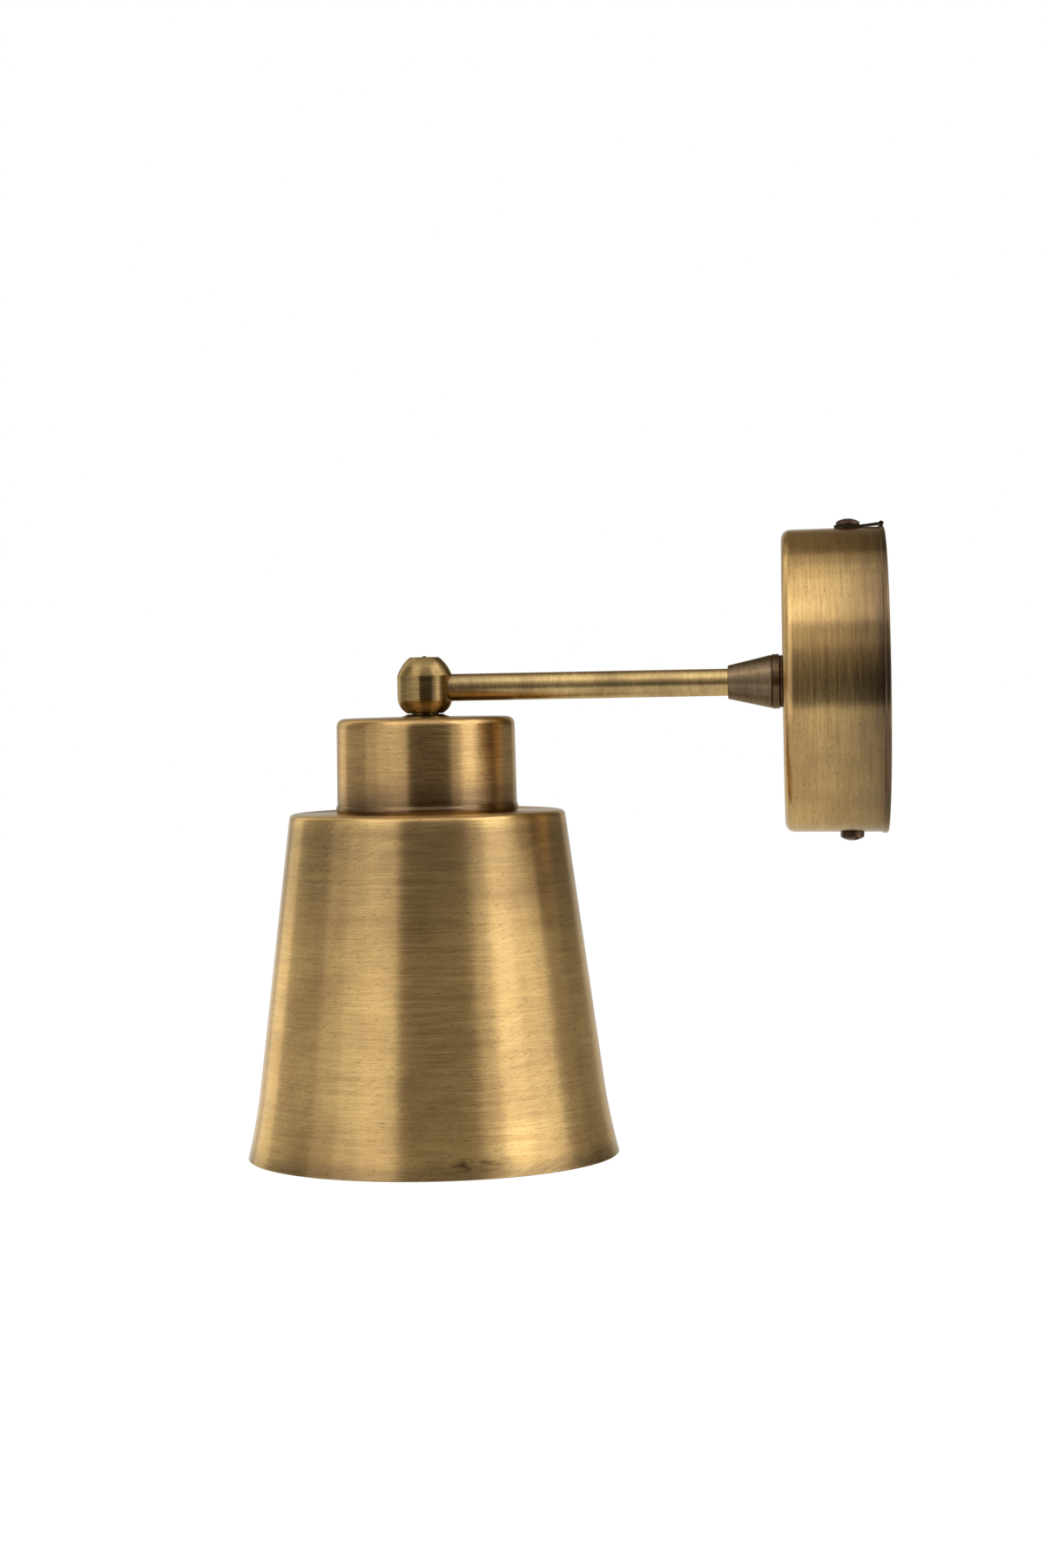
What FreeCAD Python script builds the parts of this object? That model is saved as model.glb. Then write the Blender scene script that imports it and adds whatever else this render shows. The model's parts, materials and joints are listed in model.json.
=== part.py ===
"""Brass wall lamp with a hanging shade, in millimetres.

A round rose is screwed to the wall. A straight arm stands out of it and ends in a turned
knuckle, and a cap, a lampholder and a flared shade hang under the knuckle.

The origin is on the wall, at the middle of the rose. +X points into the wall, the arm runs
along -X and +Z is up. The vertical axis of the knuckle and the shade is at x = -reach.
"""
import FreeCAD, Part
import math
import os

Vector = FreeCAD.Vector
X_AXIS = Vector(1, 0, 0)
Y_AXIS = Vector(0, 1, 0)
Z_AXIS = Vector(0, 0, 1)
FULL_TURN = 360

# Fits
running_gap = 0.05          # radial play between a turning piece and its bearing
screwed_gap = 0.02          # radial play drawn at a screwed or sliding fit of fixed pieces
clear_gap = 0.3             # play between pieces that turn past each other
overlap = 0.01              # shared by two forms that are fused into one

# Overall
reach = 170.0               # wall to the vertical axis of the knuckle and shade

# Rose: a spun cup with a turned hem at the wall
rose_back_r = 56.3
rose_front_r = 55.4
rose_depth = 37.5
rose_wall = 1.0
rose_front_round = 3.3
hem_width = 1.8
hem_height = 0.4
cover_screw_x = 13.0        # cover screws, in front of the wall

# Wall bracket: a bent steel strap inside the rose
bracket_thick = 2.0
bracket_width = 22.0
bracket_arm_length = 20.0
wall_screw_spacing = 70.0
slot_width = 5.2
slot_length = 9.0

# Tube thread size shared by the arm, the nipples, their nuts and holes
tube_r = 5.0
arm_bore_r = 4.0
nipple_bore_r = 3.6
nut_across_flats = 14.0
nut_thick = 3.0
nipple_end = 2.5            # thread left free past a nut

# Turned cone between the rose and the arm
cone_length = 19.0
cone_base_r = 10.05
cone_small_r = 6.15
cone_land = 2.6
cone_line_depth = 0.25
cone_line_width = 0.5
cone_washer_r = 9.6
cone_washer_thick = 1.3
arm_in_cone = 9.0           # length of the arm screwed into the cone
nipple_in_cone = 8.0
lock_washer_r = 8.6
lock_washer_thick = 0.8
lock_washer_teeth = 12

# Screws
cover_screw_r = 2.0
cover_head_r = 4.35
cover_head_high = 2.4
cover_shank_below = 2.0     # thread left free inside the bracket
small_screw_r = 1.5
small_head_r = 2.7
small_head_high = 1.8
driver_slot = 1.0
head_edge = 0.45            # share of a head under its slot
slot_turn_top = 55.0        # degrees from the rose's side
slot_turn_bottom = 25.0
strip_thick = 1.0           # strip under the upper cover screw
strip_width = 8.0
strip_ahead = 5.0           # strip in front of the screw's axis
bead_r = 0.9                # curled end of the strip
cover_washer_thick = 0.8

# Terminal block on the bracket
block_high = 14.0
block_width = 18.0
pole_spacing = 10.0
pole_length = 10.0          # block length taken by each pole
pole_tube_r = 2.5
pole_bore_r = 1.3
pole_screw_r = 1.2
pole_screw_spacing = 8.0
pole_screw_long = 3.4
pole_slot_depth = 0.8
tag_thick = 0.8
tag_r = 4.0
barrel_r = 1.7
barrel_long = 6.0

# Knuckle: a turned barrel on a vertical axis
knuckle_r = 10.2
knuckle_band = 9.0          # height of its straight middle
knuckle_top = 11.4
knuckle_bottom = 9.4
knuckle_top_r = 5.4
knuckle_bottom_r = 6.6
knuckle_bulge = 0.65        # rise of each shoulder over a straight bevel
pip_r = 0.7
pip_high = 0.45
knuckle_bore_past = 4.0     # blind end of each bore past the crossing axis
arm_end_x = 4.0             # arm's end, from the knuckle's axis
nipple_top_z = 5.3          # head nipple's end, under the arm's axis
roll_groove_x = 6.6         # groove in the arm's end, from the knuckle's axis
swivel_groove_z = 7.1       # groove in the head nipple, under the arm's axis
groove_width = 2.3
groove_depth = 0.7
dog_r = 0.9                 # point of a knuckle screw
roll_limit = 90.0           # degrees each way that the ends of the groove allow
swivel_limit = 160.0

# Neck and cap
collar_top_r = 6.8
collar_base_r = 9.0
collar_high = 1.2
collar_rim = 0.3
cap_top_r = 33.0
cap_base_r = 33.4
cap_high = 35.0
cap_wall = 1.0
cap_round = 2.8
cap_bead_high = 3.0
cap_bead_out = 0.5

# Shade
shade_top_r = 51.0
shade_wall = 0.8
shade_corner = 1.6
shade_high = 127.4
shade_slope = 0.1275        # growth of the radius per unit of height
flare_high = 27.0
rim_r = 69.0

# Lampholder, in heights measured from the top of the shade
holder_r = 19.6
holder_upper_bore_r = 18.0
holder_lower_bore_r = 16.6
holder_above = 11.0
holder_below = 30.0
holder_edge = 0.8           # rounding of the lower end
flange_r = 23.5
flange_thick = 2.3
ring_r = 26.5
ring_thick = 6.0
ring_rib_depth = 0.8
ring_rib_count = 24
dome_wall = 1.6
dome_skirt = 9.0
dome_high = 11.0
neck_r = 8.0
neck_high = 3.5
nipple_past_neck = 2.5
insert_thick = 9.0
insert_skirt = 12.0
shell_r = 13.3              # bore of the screw shell
shell_wall = 0.4
shell_top = 6.2
shell_long = 19.0
contact_well_top = 1.5      # ceiling of the hollow over the centre contact
contact_well_r = 12.0
contact_width = 6.0
contact_thick = 0.6
contact_drop = 4.5
terminal_size = 6.0
terminal_high = 4.5
terminal_ring_r = 10.5
terminal_head_r = 2.04

# Cable: a round sheath with three cores
sheath_r = 2.7
core_r = 1.0
core_ring_r = 1.4           # cores' distance from the cable's middle
knuckle_bend = 6.0          # radius of the cable's bend inside the knuckle
sheath_past_nut = 2.0
sheath_inside_nipple = 4.0 # sheath's end above the nipple's end
core_straight = 3.0
bend_share = 0.45           # share of a straight run that one bend may take
core_clear = 1.2            # core's surface to the block's corner

# Derived places along the arm, from the wall
rose_face = -rose_depth
rose_inner_face = rose_face + rose_wall
cone_back = rose_face - cone_washer_thick
cone_front = cone_back - cone_length
nut_back = rose_inner_face + lock_washer_thick + nut_thick
rose_nipple_end = nut_back + nipple_end
arm_start = -reach + arm_end_x
arm_stop = cone_front + arm_in_cone
sheath_stop = rose_nipple_end + sheath_past_nut
block_back = -bracket_thick
block_front = block_back - block_high
block_half = pole_spacing / 2 + pole_length / 2
earth_z = (block_half + wall_screw_spacing / 2 - slot_length / 2) / 2

# Derived heights at the shade's axis
collar_top = -knuckle_bottom - clear_gap
cap_top = collar_top - collar_high
shade_top = cap_top - cap_high
rim_z = shade_top - shade_high
cap_nut_top = cap_top - cap_wall
holder_top = shade_top + holder_above
dome_shoulder = holder_top + dome_wall
neck_base = dome_shoulder + dome_high
neck_top = neck_base + neck_high
head_nipple_bottom = neck_base - nipple_past_neck
head_sheath_stop = head_nipple_bottom + sheath_inside_nipple
insert_top = shade_top + insert_thick
terminal_top = insert_top + terminal_high
dome_r = holder_r + screwed_gap + dome_wall


def skirt_r(x):
    """Outer radius of the rose's skirt at a distance x from the wall."""
    share = (-x - hem_width) / (rose_depth - hem_width)
    skirt_back_r = rose_back_r - hem_height
    return skirt_back_r + (rose_front_r - skirt_back_r) * share


def shade_r(height):
    """Outer radius of the shade's straight wall at a height below its top."""
    return shade_top_r + shade_slope * height


def outline(points, place):
    """Closed face through (radius, along, corner radius) points, set in space by place."""
    corners = []
    for index, point in enumerate(points):
        here = Vector(point[0], point[1], 0)
        corner_r = point[2] if len(point) > 2 else 0
        if corner_r <= 0:
            corners.append((here, None, here))
            continue
        before = Vector(*points[index - 1][:2], 0)
        after = Vector(*points[(index + 1) % len(points)][:2], 0)
        to_before = (before - here).normalize()
        to_after = (after - here).normalize()
        half_angle = to_before.getAngle(to_after) / 2
        bisector = (to_before + to_after).normalize()
        tangent = corner_r / math.tan(half_angle)
        middle = here + bisector * (corner_r / math.sin(half_angle) - corner_r)
        corners.append((here + to_before * tangent, middle, here + to_after * tangent))
    edges = []
    for index, (start, middle, end) in enumerate(corners):
        if middle:
            edges.append(Part.Arc(place(start), place(middle), place(end)).toShape())
        following = corners[(index + 1) % len(corners)][0]
        if (following - end).Length > 1e-6:
            edges.append(Part.LineSegment(place(end), place(following)).toShape())
    return Part.Face(Part.Wire(edges))


def turned_on_arm(points):
    """Solid of revolution about the arm's axis, from (radius, x) points."""
    face = outline(points, lambda point: Vector(point.y, 0, point.x))
    return face.revolve(Vector(0, 0, 0), X_AXIS, FULL_TURN)


def turned_on_drop(points):
    """Solid of revolution about the shade's axis, from (radius, z) points."""
    face = outline(points, lambda point: Vector(point.x - reach, 0, point.y))
    return face.revolve(Vector(-reach, 0, 0), Z_AXIS, FULL_TURN)


def rod(radius, start, end):
    """Round bar between two points."""
    run = end - start
    return Part.makeCylinder(radius, run.Length, start, run)


def tube(outer_r, inner_r, start, end):
    """Round tube between two points."""
    return rod(outer_r, start, end).cut(rod(inner_r, start, end))


def box(low, high):
    """Box between two corners."""
    size = high - low
    return Part.makeBox(size.x, size.y, size.z, low)


def drop(x, y, z):
    """Point given from the shade's axis."""
    return Vector(x - reach, y, z)


def hexagon_nut(across_flats, thick, bore_r, start, axis):
    """Hexagonal nut with chamfered corners, standing on start along axis."""
    corner_r = across_flats / math.sqrt(3)
    chamfer = (corner_r - across_flats / 2) / 2
    turn = FreeCAD.Rotation(Z_AXIS, axis)
    corners = []
    for side in range(7):
        angle = math.radians(side * 60 + 30)
        local = Vector(corner_r * math.cos(angle), corner_r * math.sin(angle), 0)
        corners.append(start + turn.multVec(local))
    body = Part.Face(Part.makePolygon(corners)).extrude(axis * thick)
    cone_long = thick - chamfer
    lower = Part.makeCone(corner_r - chamfer, corner_r, chamfer, start, axis)
    middle = Part.makeCylinder(corner_r, cone_long - chamfer, start + axis * chamfer, axis)
    upper = Part.makeCone(corner_r, corner_r - chamfer, chamfer, start + axis * cone_long, axis)
    blank = lower.fuse(middle).fuse(upper)
    return body.common(blank).cut(rod(bore_r, start - axis, start + axis * (thick + 1)))


def slotted_screw(head, shank, base, axis, slot_along):
    """Domed screw with a driver slot: head (radius, height) and shank (radius, length)."""
    head_r, head_high = head
    shank_r, shank_long = shank
    edge = head_high * head_edge
    rise = head_high - edge
    dome_radius = (head_r * head_r + rise * rise) / (2 * rise)
    disc = Part.makeCylinder(head_r, head_high, base, axis)
    ball = Part.makeSphere(dome_radius, base + axis * (head_high - dome_radius))
    driver = box(Vector(-driver_slot / 2, -head_r - 1, 0), Vector(driver_slot / 2, head_r + 1, head_high))
    side = slot_along.cross(axis)
    turn = FreeCAD.Rotation(side, slot_along, axis, "ZXY")
    driver.Placement = FreeCAD.Placement(base + axis * edge, turn)
    return disc.common(ball).cut(driver).fuse(rod(shank_r, base + axis * overlap, base - axis * shank_long))


def bent_route(points):
    """Wire of straight runs joined by tangent arcs, as large as the runs allow."""
    edges = []
    last = points[0]
    for before, here, after in zip(points, points[1:], points[2:]):
        to_before = (before - here).normalize()
        to_after = (after - here).normalize()
        half_angle = to_before.getAngle(to_after) / 2
        tangent = bend_share * min((before - here).Length, (after - here).Length)
        radius = tangent * math.tan(half_angle)
        bisector = (to_before + to_after).normalize()
        start = here + to_before * tangent
        middle = here + bisector * (radius / math.sin(half_angle) - radius)
        end = here + to_after * tangent
        edges.append(Part.LineSegment(last, start).toShape())
        edges.append(Part.Arc(start, middle, end).toShape())
        last = end
        print("bend radius", round(radius, 2))
    edges.append(Part.LineSegment(last, points[-1]).toShape())
    return Part.Wire(edges)


def lead(radius, points):
    """Insulated core along a route of points."""
    route = bent_route(points)
    circle = Part.Wire(Part.makeCircle(radius, points[0], points[1] - points[0]))
    solid = route.makePipeShell([circle], True, False)
    print("core length", round(route.Length, 1), "volume share",
          round(solid.Volume / (math.pi * radius * radius * route.Length), 3))
    return solid


def wall_bracket():
    """Steel strap against the wall, with an arm bent forward at each end."""
    end_z = bracket_end()
    half = bracket_width / 2
    strap = box(Vector(-bracket_arm_length, -half, -end_z), Vector(0, half, end_z))
    hollow_z = end_z - bracket_thick
    hollow = box(Vector(-bracket_arm_length, -half, -hollow_z), Vector(-bracket_thick, half, hollow_z))
    bends = [edge for edge in strap.Edges
             if abs(edge.CenterOfMass.x) < 1e-6 and abs(edge.CenterOfMass.y) < 1e-6]
    strap = strap.makeFillet(bracket_thick, bends).cut(hollow)
    for side in (-1, 1):
        middle = side * wall_screw_spacing / 2
        straight = (slot_length - slot_width) / 2
        low = Vector(-bracket_thick, -slot_width / 2, middle - straight)
        high = Vector(0, slot_width / 2, middle + straight)
        slot = box(low, high)
        for end in (-straight, straight):
            centre = Vector(0, 0, middle + end)
            slot = slot.fuse(rod(slot_width / 2, centre, centre - X_AXIS * bracket_thick))
        screw_hole = rod(cover_screw_r + screwed_gap, Vector(-cover_screw_x, 0, side * (hollow_z - 1)),
                         Vector(-cover_screw_x, 0, side * (end_z + 1)))
        strap = strap.cut(slot).cut(screw_hole)
    block_hole = rod(small_screw_r + screwed_gap, Vector(-bracket_thick, 0, 0), Vector(0, 0, 0))
    earth_hole = rod(cover_screw_r + screwed_gap, Vector(-bracket_thick, 0, earth_z), Vector(0, 0, earth_z))
    return strap.cut(block_hole).cut(earth_hole)


def bracket_end():
    """Height of the bracket arms' outer faces."""
    inner_r = skirt_r(-bracket_arm_length) - rose_wall
    return math.sqrt(inner_r * inner_r - bracket_width * bracket_width / 4) - clear_gap


def rose_cup():
    """Spun cup, open to the wall, with a turned hem and holes for the arm and the screws."""
    step = hem_width + hem_height
    outer = turned_on_arm([
        (0, rose_face), (rose_front_r, rose_face, rose_front_round), (skirt_r(-step), -step),
        (rose_back_r, -hem_width), (rose_back_r, -hem_height), (rose_back_r - hem_height, 0), (0, 0)])
    inner = turned_on_arm([
        (0, rose_inner_face), (rose_front_r - rose_wall, rose_inner_face, rose_front_round - rose_wall),
        (skirt_r(0) - rose_wall, 0), (0, 0)])
    cup = outer.cut(inner)
    cup = cup.cut(rod(tube_r + screwed_gap, Vector(rose_face, 0, 0), Vector(rose_inner_face, 0, 0)))
    for side in (-1, 1):
        start = Vector(-cover_screw_x, 0, side * bracket_end())
        end = Vector(-cover_screw_x, 0, side * (rose_back_r + 1))
        cup = cup.cut(rod(cover_screw_r + clear_gap, start, end))
    return cup


def cover_screw(side, under_head, slot_turn):
    """Screw through the rose's skirt into a bracket arm, on top (1) or below (-1)."""
    turn = math.radians(slot_turn)
    slot_along = Vector(math.sin(turn), math.cos(turn), 0)
    base_r = skirt_r(-cover_screw_x + cover_head_r) + under_head
    inner_z = bracket_end() - bracket_thick - cover_shank_below
    base = Vector(-cover_screw_x, 0, side * base_r)
    shank = (cover_screw_r, base_r - inner_z)
    return slotted_screw((cover_head_r, cover_head_high), shank, base, Z_AXIS * side, slot_along)


def screw_strip():
    """Thin strip from under the upper cover screw back to the wall, with a curled end."""
    front_x = -cover_screw_x - strip_ahead
    seat_x = -cover_screw_x + cover_head_r
    seat_r = skirt_r(seat_x)
    back_r = rose_back_r + bead_r
    back_x = -bead_r
    strip = turned_on_arm([
        (seat_r, front_x), (seat_r + strip_thick, front_x), (seat_r + strip_thick, seat_x),
        (back_r + strip_thick / 2, back_x), (back_r - strip_thick / 2, back_x), (seat_r, seat_x)])
    bead = Part.makeTorus(back_r, bead_r, Vector(back_x, 0, 0), X_AXIS)
    half = strip_width / 2
    window = box(Vector(front_x, -half, 0), Vector(0, half, back_r + 2 * bead_r))
    hole_start = Vector(-cover_screw_x, 0, 0)
    hole = rod(cover_screw_r + screwed_gap, hole_start, hole_start + Z_AXIS * (back_r + 2))
    return strip.fuse(bead).common(window).cut(hole)


def cover_washer():
    """Flat washer under the lower cover screw."""
    seat = skirt_r(-cover_screw_x + cover_head_r)
    start = Vector(-cover_screw_x, 0, -seat)
    return tube(cover_head_r, cover_screw_r + screwed_gap, start, start - Z_AXIS * cover_washer_thick)


def terminal_block():
    """Two-pole block with a bore for each pole and a sunk hole for its fixing screw."""
    half = block_width / 2
    block = box(Vector(block_front, -half, -block_half), Vector(block_back, half, block_half))
    upright = [edge for edge in block.Edges if abs(edge.CenterOfMass.y) > half - 1e-6
               and abs(edge.CenterOfMass.x - block_front) < 1e-6]
    block = block.makeFillet(core_r, upright)
    pole_x = block_back - block_high / 2
    for pole_z in (-pole_spacing / 2, pole_spacing / 2):
        bore = rod(pole_tube_r, Vector(pole_x, -half, pole_z), Vector(pole_x, half, pole_z))
        block = block.cut(bore)
        for screw_y in (-pole_screw_spacing / 2, pole_screw_spacing / 2):
            shaft = rod(pole_screw_r + clear_gap, Vector(block_front, screw_y, pole_z),
                        Vector(pole_x, screw_y, pole_z))
            block = block.cut(shaft)
    sink = block_front + block_high / 3
    wide = rod(small_head_r + clear_gap, Vector(block_front, 0, 0), Vector(sink, 0, 0))
    narrow = rod(small_screw_r + screwed_gap, Vector(sink, 0, 0), Vector(block_back, 0, 0))
    return block.cut(wide).cut(narrow)


def block_screw():
    """Screw that holds the terminal block on the bracket."""
    base = Vector(block_front + block_high / 3, 0, 0)
    shank = (small_screw_r, -base.x)
    return slotted_screw((small_head_r, small_head_high), shank, base, -X_AXIS, Y_AXIS)


def pole_tubes():
    """Brass tube of each pole."""
    pole_x = block_back - block_high / 2
    half = block_width / 2 - 1
    tubes = []
    for pole_z in (-pole_spacing / 2, pole_spacing / 2):
        piece = tube(pole_tube_r, pole_bore_r, Vector(pole_x, -half, pole_z), Vector(pole_x, half, pole_z))
        for screw_y in (-pole_screw_spacing / 2, pole_screw_spacing / 2):
            hole = rod(pole_screw_r + screwed_gap, Vector(pole_x - pole_tube_r, screw_y, pole_z),
                       Vector(pole_x, screw_y, pole_z))
            piece = piece.cut(hole)
        tubes.append(piece)
    return Part.makeCompound(tubes)


def pole_screws():
    """Clamping screws of the poles."""
    tip_x = block_back - block_high / 2 - core_r
    screws = []
    for pole_z in (-pole_spacing / 2, pole_spacing / 2):
        for screw_y in (-pole_screw_spacing / 2, pole_screw_spacing / 2):
            tip = Vector(tip_x, screw_y, pole_z)
            head = tip - X_AXIS * pole_screw_long
            screw = rod(pole_screw_r, tip, head)
            slot_low = head - Vector(0, driver_slot / 4, pole_screw_r)
            slot = box(slot_low, slot_low + Vector(pole_slot_depth, driver_slot / 2, 2 * pole_screw_r))
            screws.append(screw.cut(slot))
    return Part.makeCompound(screws)


def earth_tag():
    """Ring tag with a crimped barrel, under the earth screw."""
    back = Vector(-bracket_thick, 0, earth_z)
    front = back - X_AXIS * tag_thick
    ring = rod(tag_r, back, front)
    tongue = box(Vector(front.x, 0, earth_z - barrel_r), Vector(back.x, tag_r + 1, earth_z + barrel_r))
    barrel_start = Vector(back.x - barrel_r, tag_r + 1, earth_z)
    barrel_stop = barrel_start + Y_AXIS * barrel_long
    barrel = rod(barrel_r, barrel_start, barrel_stop)
    core_hole = rod(core_r, barrel_start + Y_AXIS * (barrel_long / 3), barrel_stop)
    body = ring.fuse(tongue).fuse(barrel)
    return body.cut(core_hole).cut(rod(cover_screw_r + screwed_gap, back, front))


def earth_screw():
    """Screw that holds the earth tag on the bracket."""
    base = Vector(-bracket_thick - tag_thick, 0, earth_z)
    shank = (cover_screw_r, -base.x)
    return slotted_screw((small_head_r + 0.5, cover_head_high), shank, base, -X_AXIS, Y_AXIS)


def lock_washer():
    """Toothed washer between the rose and its nut."""
    start = Vector(rose_inner_face, 0, 0)
    end = start + X_AXIS * lock_washer_thick
    washer = tube(lock_washer_r, tube_r + screwed_gap, start, end)
    notch_r = math.pi * lock_washer_r / lock_washer_teeth / 3
    for tooth in range(lock_washer_teeth):
        angle = 2 * math.pi * tooth / lock_washer_teeth
        offset = Vector(0, lock_washer_r * math.cos(angle), lock_washer_r * math.sin(angle))
        washer = washer.cut(rod(notch_r, start + offset, end + offset))
    return washer


def rose_locknut():
    """Nut that clamps the nipple to the rose."""
    start = Vector(rose_inner_face + lock_washer_thick, 0, 0)
    return hexagon_nut(nut_across_flats, nut_thick, tube_r + screwed_gap, start, X_AXIS)


def rose_nipple():
    """Hollow threaded nipple that joins the cone to the rose."""
    start = Vector(cone_back - nipple_in_cone, 0, 0)
    return tube(tube_r, nipple_bore_r, start, Vector(rose_nipple_end, 0, 0))


def cone_washer():
    """Thin turned washer between the cone and the rose."""
    edge = cone_washer_thick / 4
    bore_r = tube_r + screwed_gap
    return turned_on_arm([
        (bore_r, rose_face), (cone_washer_r - edge, rose_face), (cone_washer_r, rose_face - edge),
        (cone_washer_r, cone_back + edge), (cone_washer_r - edge, cone_back), (bore_r, cone_back)])


def arm_cone():
    """Turned cone with a straight land at its base and a fine line beside it."""
    land_start = cone_back - cone_land
    slope_start = land_start - cone_line_width
    line_r = cone_base_r - cone_line_depth
    edge = cone_line_depth
    bore_r = tube_r + screwed_gap
    return turned_on_arm([
        (bore_r, cone_front), (cone_small_r, cone_front, edge), (line_r, slope_start),
        (line_r - edge, slope_start + cone_line_width / 2), (cone_base_r, land_start),
        (cone_base_r, cone_back - edge), (cone_base_r - edge, cone_back), (bore_r, cone_back)])


def stop_groove(centre, axis, towards, limit):
    """Ring sector cut in a tube, whose ends stop a screw point after limit degrees each way."""
    floor_r = tube_r - groove_depth
    tip_angle = math.degrees(math.asin((dog_r + clear_gap) / floor_r))
    half = axis * (groove_width / 2)
    corners = [centre + towards * floor_r - half, centre + towards * (tube_r + 1) - half,
               centre + towards * (tube_r + 1) + half, centre + towards * floor_r + half]
    face = Part.Face(Part.makePolygon(corners + corners[:1]))
    sweep = limit + tip_angle
    face.rotate(centre, axis, -sweep)
    return face.revolve(centre, axis, 2 * sweep)


def arm_tube():
    """Straight arm, screwed into the cone, with a stop groove where the knuckle turns on it."""
    body = tube(tube_r, arm_bore_r, Vector(arm_start, 0, 0), Vector(arm_stop, 0, 0))
    return body.cut(stop_groove(drop(roll_groove_x, 0, 0), X_AXIS, Y_AXIS, roll_limit))


def knuckle_blank():
    """Outer form of the knuckle: a barrel with bulged bevels, flat ends and a top pip."""
    half_band = knuckle_band / 2

    def shoulder_middle(band_end, flat_end, side):
        run = flat_end - band_end
        outwards = Vector(run.y, -run.x, 0) * (side / run.Length)
        return (band_end + flat_end) * 0.5 + outwards * knuckle_bulge

    def place(point):
        return drop(point.x, 0, point.y)

    upper_band = Vector(knuckle_r, half_band, 0)
    lower_band = Vector(knuckle_r, -half_band, 0)
    top_edge = Vector(knuckle_top_r, knuckle_top, 0)
    bottom_edge = Vector(knuckle_bottom_r, -knuckle_bottom, 0)
    top_middle = shoulder_middle(upper_band, top_edge, 1)
    bottom_middle = shoulder_middle(lower_band, bottom_edge, -1)
    top_axis = Vector(0, knuckle_top, 0)
    bottom_axis = Vector(0, -knuckle_bottom, 0)
    edges = [
        Part.LineSegment(place(top_axis), place(top_edge)).toShape(),
        Part.Arc(place(top_edge), place(top_middle), place(upper_band)).toShape(),
        Part.LineSegment(place(upper_band), place(lower_band)).toShape(),
        Part.Arc(place(lower_band), place(bottom_middle), place(bottom_edge)).toShape(),
        Part.LineSegment(place(bottom_edge), place(bottom_axis)).toShape(),
        Part.LineSegment(place(bottom_axis), place(top_axis)).toShape()]
    blank = Part.Face(Part.Wire(edges)).revolve(drop(0, 0, 0), Z_AXIS, FULL_TURN)
    return blank.fuse(rod(pip_r, drop(0, 0, knuckle_top - 1), drop(0, 0, knuckle_top + pip_high)))


def knuckle_screw_holes():
    """Holes for the two screws, from the knuckle's bores to its rear side."""
    hole_r = small_screw_r + screwed_gap
    roll = rod(hole_r, drop(roll_groove_x, 0, 0), drop(roll_groove_x, knuckle_r + 1, 0))
    swivel = rod(hole_r, drop(0, 0, -swivel_groove_z), drop(0, knuckle_r + 1, -swivel_groove_z))
    return roll.fuse(swivel)


def knuckle():
    """Turned knuckle with a bore for the arm, a bore for the head nipple and two screw holes."""
    bore_r = tube_r + running_gap
    arm_bore = rod(bore_r, drop(-knuckle_bore_past, 0, 0), drop(knuckle_r + 1, 0, 0))
    drop_bore = rod(bore_r, drop(0, 0, knuckle_bore_past), drop(0, 0, -knuckle_bottom - 1))
    return knuckle_blank().cut(arm_bore).cut(drop_bore).cut(knuckle_screw_holes())


def knuckle_screws():
    """Headless screws with a thin point that runs in a stop groove."""
    screws = []
    tip_y = tube_r - groove_depth + clear_gap
    shoulder_y = tube_r + 2 * running_gap
    for x, z in ((roll_groove_x, 0), (0, -swivel_groove_z)):
        thread = rod(small_screw_r, drop(x, shoulder_y, z), drop(x, knuckle_r, z))
        thread = thread.common(knuckle_blank())
        far_y = thread.BoundBox.YMax
        socket = hexagon_nut(small_screw_r, far_y - shoulder_y, 0.01, drop(x, far_y - 1, z), Y_AXIS)
        point = rod(dog_r, drop(x, tip_y, z), drop(x, shoulder_y + 0.5, z))
        screws.append(thread.cut(socket).fuse(point))
    return Part.makeCompound(screws)


def neck_collar():
    """Flared collar between the knuckle and the cap."""
    bore_r = tube_r + screwed_gap
    return turned_on_drop([
        (bore_r, collar_top), (collar_top_r, collar_top), (collar_base_r, cap_top + collar_rim),
        (collar_base_r, cap_top), (bore_r, cap_top)])


def head_nipple():
    """Hollow threaded nipple that hangs in the knuckle and carries the cap and the lampholder."""
    body = tube(tube_r, nipple_bore_r, drop(0, 0, -nipple_top_z), drop(0, 0, head_nipple_bottom))
    return body.cut(stop_groove(drop(0, 0, -swivel_groove_z), Z_AXIS, Y_AXIS, swivel_limit))


def cap_locknut():
    """Nut that clamps the cap to the collar."""
    start = drop(0, 0, cap_nut_top)
    return hexagon_nut(nut_across_flats, nut_thick, tube_r + screwed_gap, start, -Z_AXIS)


def shade_cap():
    """Spun cap over the lampholder, with a rolled bead where it stands on the shade."""
    bead_middle = shade_top + cap_bead_high / 2
    outer = turned_on_drop([
        (0, cap_top), (cap_top_r, cap_top, cap_round), (cap_base_r, shade_top), (0, shade_top)])
    inner = turned_on_drop([
        (0, cap_nut_top), (cap_top_r - cap_wall, cap_nut_top, cap_round - cap_wall),
        (cap_base_r - cap_wall, shade_top), (0, shade_top)])
    bead_r_cut = (cap_bead_high * cap_bead_high / 4 + cap_bead_out * cap_bead_out) / (2 * cap_bead_out)
    bead_centre_r = cap_base_r + cap_bead_out - bead_r_cut
    bead = Part.makeTorus(bead_centre_r, bead_r_cut, drop(0, 0, bead_middle), Z_AXIS)
    inside = rod(cap_base_r - cap_wall / 2, drop(0, 0, shade_top), drop(0, 0, cap_top))
    band = rod(cap_base_r + cap_bead_out + 1, drop(0, 0, shade_top), drop(0, 0, shade_top + cap_bead_high))
    cap = outer.fuse(bead.common(band).cut(inside)).cut(inner)
    return cap.cut(rod(tube_r + screwed_gap, drop(0, 0, cap_nut_top), drop(0, 0, cap_top)))


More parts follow.
